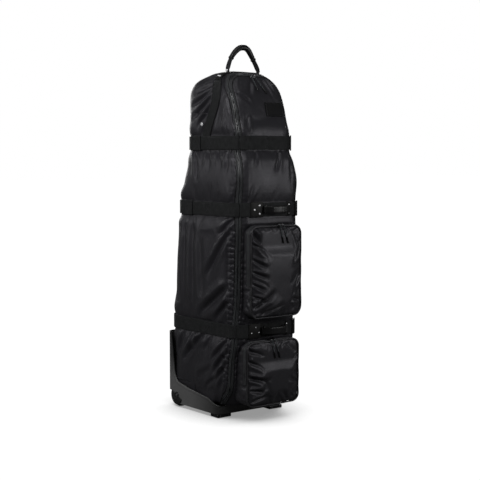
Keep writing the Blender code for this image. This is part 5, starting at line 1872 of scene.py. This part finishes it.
def build_feet():
    """Two ribbed rubber feet under the boot's front corners, with their screws."""
    for side in ("left", "right"):
        low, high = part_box("foot_" + side)
        parts = [box_piece("foot_block", (low.x, low.y, low.z + 0.0002), high, 0.0030)]
        for k in range(4):
            y = low.y + (high.y - low.y) * (0.2 + 0.2 * k)
            parts.append(box_piece("foot_rib", (low.x - 0.0008, y - 0.0022, low.z + 0.002),
                                   (high.x + 0.0008, y + 0.0022, high.z - 0.001), 0.0008))
        show(join("foot_pad_" + side, parts), "root", GRIP_RUBBER, ["foot_" + side])
        spots = [((low.x + high.x) / 2 + d, low.y + 0.0002, (low.z + high.z) / 2) for d in (-0.018, 0.018)]
        screws = dome_studs("foot_screws_" + side, spots, (0, -1, 0), 0.0022, 0.0008)
        show(screws, "root", DARK_METAL)


def build_inside():
    """The quilted cap over the club heads and the board in the back."""
    heights = heights_between(1.128, 1.2535, 0.006)
    rows = []
    inset, columns = 0.0062, 90
    for z in heights:
        width_front, width_back, front, back, radius = (float(v) for v in section(z))
        left = np.concatenate([
            [(-width_front + inset, max(-0.028, front + radius)), (-width_back + inset, back - radius)],
            arc(-width_back + radius, back - radius, radius - inset, 175, 95, 10),
            [(0.0, back - inset)]])
        row = spread(np.concatenate([left, left[-2::-1] * (-1, 1)]), columns)
        rows.append(np.column_stack([row, np.full(columns, z - inset * 0.9)]))
    grid = np.stack(rows)
    inward = grid_normals(grid, -grid + np.array((0.0, 0.03, 1.1)))
    share = np.linspace(0, 1, columns)[None, :] * 9
    lift = np.abs(np.sin(share * math.pi))
    lift = lift * np.abs(np.sin(np.linspace(0, 3.5, len(heights)) * math.pi))[:, None]
    grid = grid + inward * (0.004 + 0.010 * lift ** 0.4)[..., None]
    piece = add_mesh("head_pad", grid, grid_faces(*grid.shape[:2]))
    fix_normals(piece)
    show(piece, "root", LINING, ["top_padding"])
    thicken(piece, 0.003)
    dress_node("back_board", BOARD_PLASTIC)


# ---------------------------------------------------------------- camera, light and floor
AZIMUTH, CAMERA_DISTANCE, CAMERA_HEIGHT, CAMERA_TILT = 36.3, 4.06, 0.9595, 4.574


def by_camera_ray(tree, elsewhere, direct, output):
    """Shows the camera one shader, and lights the scene with another."""
    ray = tree.nodes.new("ShaderNodeLightPath")
    mix = tree.nodes.new("ShaderNodeMixShader")
    for source, socket in ((ray.outputs["Is Camera Ray"], 0), (elsewhere, 1), (direct, 2)):
        tree.links.new(source, mix.inputs[socket])
    tree.links.new(mix.outputs[0], tree.nodes[output].inputs["Surface"])


def build_stage():
    """The camera, the pale floor with its painted contact shadow, the studio's walls and its lamps."""
    turn, tilt = math.radians(AZIMUTH), math.radians(CAMERA_TILT)
    camera_data = bpy.data.cameras.new("camera")
    camera_data.lens, camera_data.sensor_width = 82.5, 36.0
    camera_data.shift_x = 0.0047
    camera = bpy.data.objects.new("camera", camera_data)
    bpy.context.scene.collection.objects.link(camera)
    camera.location = (-math.sin(turn) * CAMERA_DISTANCE, -math.cos(turn) * CAMERA_DISTANCE, CAMERA_HEIGHT)
    camera.rotation_euler = (math.pi / 2 - tilt, 0.0, -turn)
    bpy.context.scene.camera = camera

    floor = add_mesh("floor", [(-30, -30, 0), (30, -30, 0), (30, 30, 0), (-30, 30, 0)], [(0, 1, 2, 3)])
    floor_with_painted_shadow = bpy.data.materials.new("floor_painted_shadow")
    floor_with_painted_shadow.use_nodes = True
    tree = floor_with_painted_shadow.node_tree
    surface = tree.nodes["Principled BSDF"]
    surface.inputs["Base Color"].default_value = (0.14, 0.14, 0.14, 1.0)
    surface.inputs["Roughness"].default_value = 0.85
    # Painted contact shadow: to the camera the floor glows, dimmer where ambient occlusion finds the case close by.
    near = tree.nodes.new("ShaderNodeAmbientOcclusion")
    near.inputs["Distance"].default_value = 0.30
    near.samples = 12
    painted_contact_shadow = tree.nodes.new("ShaderNodeMapRange")
    painted_contact_shadow.inputs["From Min"].default_value, painted_contact_shadow.inputs["From Max"].default_value = 0.25, 0.80
    painted_contact_shadow.inputs["To Min"].default_value, painted_contact_shadow.inputs["To Max"].default_value = 0.30, 1.05
    tree.links.new(near.outputs["AO"], painted_contact_shadow.inputs["Value"])
    glow_with_painted_shadow = tree.nodes.new("ShaderNodeEmission")
    tree.links.new(painted_contact_shadow.outputs["Result"], glow_with_painted_shadow.inputs["Strength"])
    by_camera_ray(tree, surface.outputs[0], glow_with_painted_shadow.outputs[0], "Material Output")
    floor.data.materials.append(floor_with_painted_shadow)

    world = bpy.data.worlds.new("studio")
    bpy.context.scene.world = world
    world.use_nodes = True
    tree = world.node_tree
    backdrop = tree.nodes["Background"]
    backdrop.inputs["Color"].default_value = (1.0, 1.0, 1.0, 1.0)
    backdrop.inputs["Strength"].default_value = 1.0
    room = tree.nodes.new("ShaderNodeBackground")
    room.inputs["Color"].default_value = (0.98, 0.99, 1.0, 1.0)
    room.inputs["Strength"].default_value = 0.075
    by_camera_ray(tree, room.outputs[0], backdrop.outputs[0], "World Output")

    # A big soft box overhead, one at each front corner, and three for the other sides.
    for name, place, size, power in (
            ("overhead", (-0.3, -0.3, 2.7), 1.1, 4.5),
            ("front_left", (-1.7, -0.95, 2.1), 0.7, 21.0),
            ("front_right", (0.8, -1.6, 1.0), 0.6, 7.6),
            ("back_left", (-2.6, 1.5, 1.5), 1.2, 17.0),
            ("back_right", (2.4, 2.3, 1.7), 1.4, 32.0),
            ("behind", (0.3, 3.2, 1.6), 1.4, 26.0)):
        data = bpy.data.lights.new(name, "AREA")
        data.shape, data.size, data.energy = "SQUARE", size, power
        lamp = bpy.data.objects.new(name, data)
        bpy.context.scene.collection.objects.link(lamp)
        lamp.location = place
        aim = Vector((0.0, 0.0, 0.65)) - Vector(place)
        lamp.rotation_euler = aim.to_track_quat("-Z", "Y").to_euler()
    bpy.context.scene.view_settings.view_transform = "Standard"


build_stage()
build_shell()
build_flap()
build_straps()
build_main_zip()
for level in POCKETS:
    build_pocket(level)
for level in ("mid", "lower"):
    build_haul_handle(level)
build_top_handle()
for pair in ("main", "upper", "lower"):
    for side in ("left", "right"):
        build_slider(f"{pair}_{side}")
build_patch()
build_boot()
build_wheels()
build_wheel_caps()
build_feet()
build_inside()
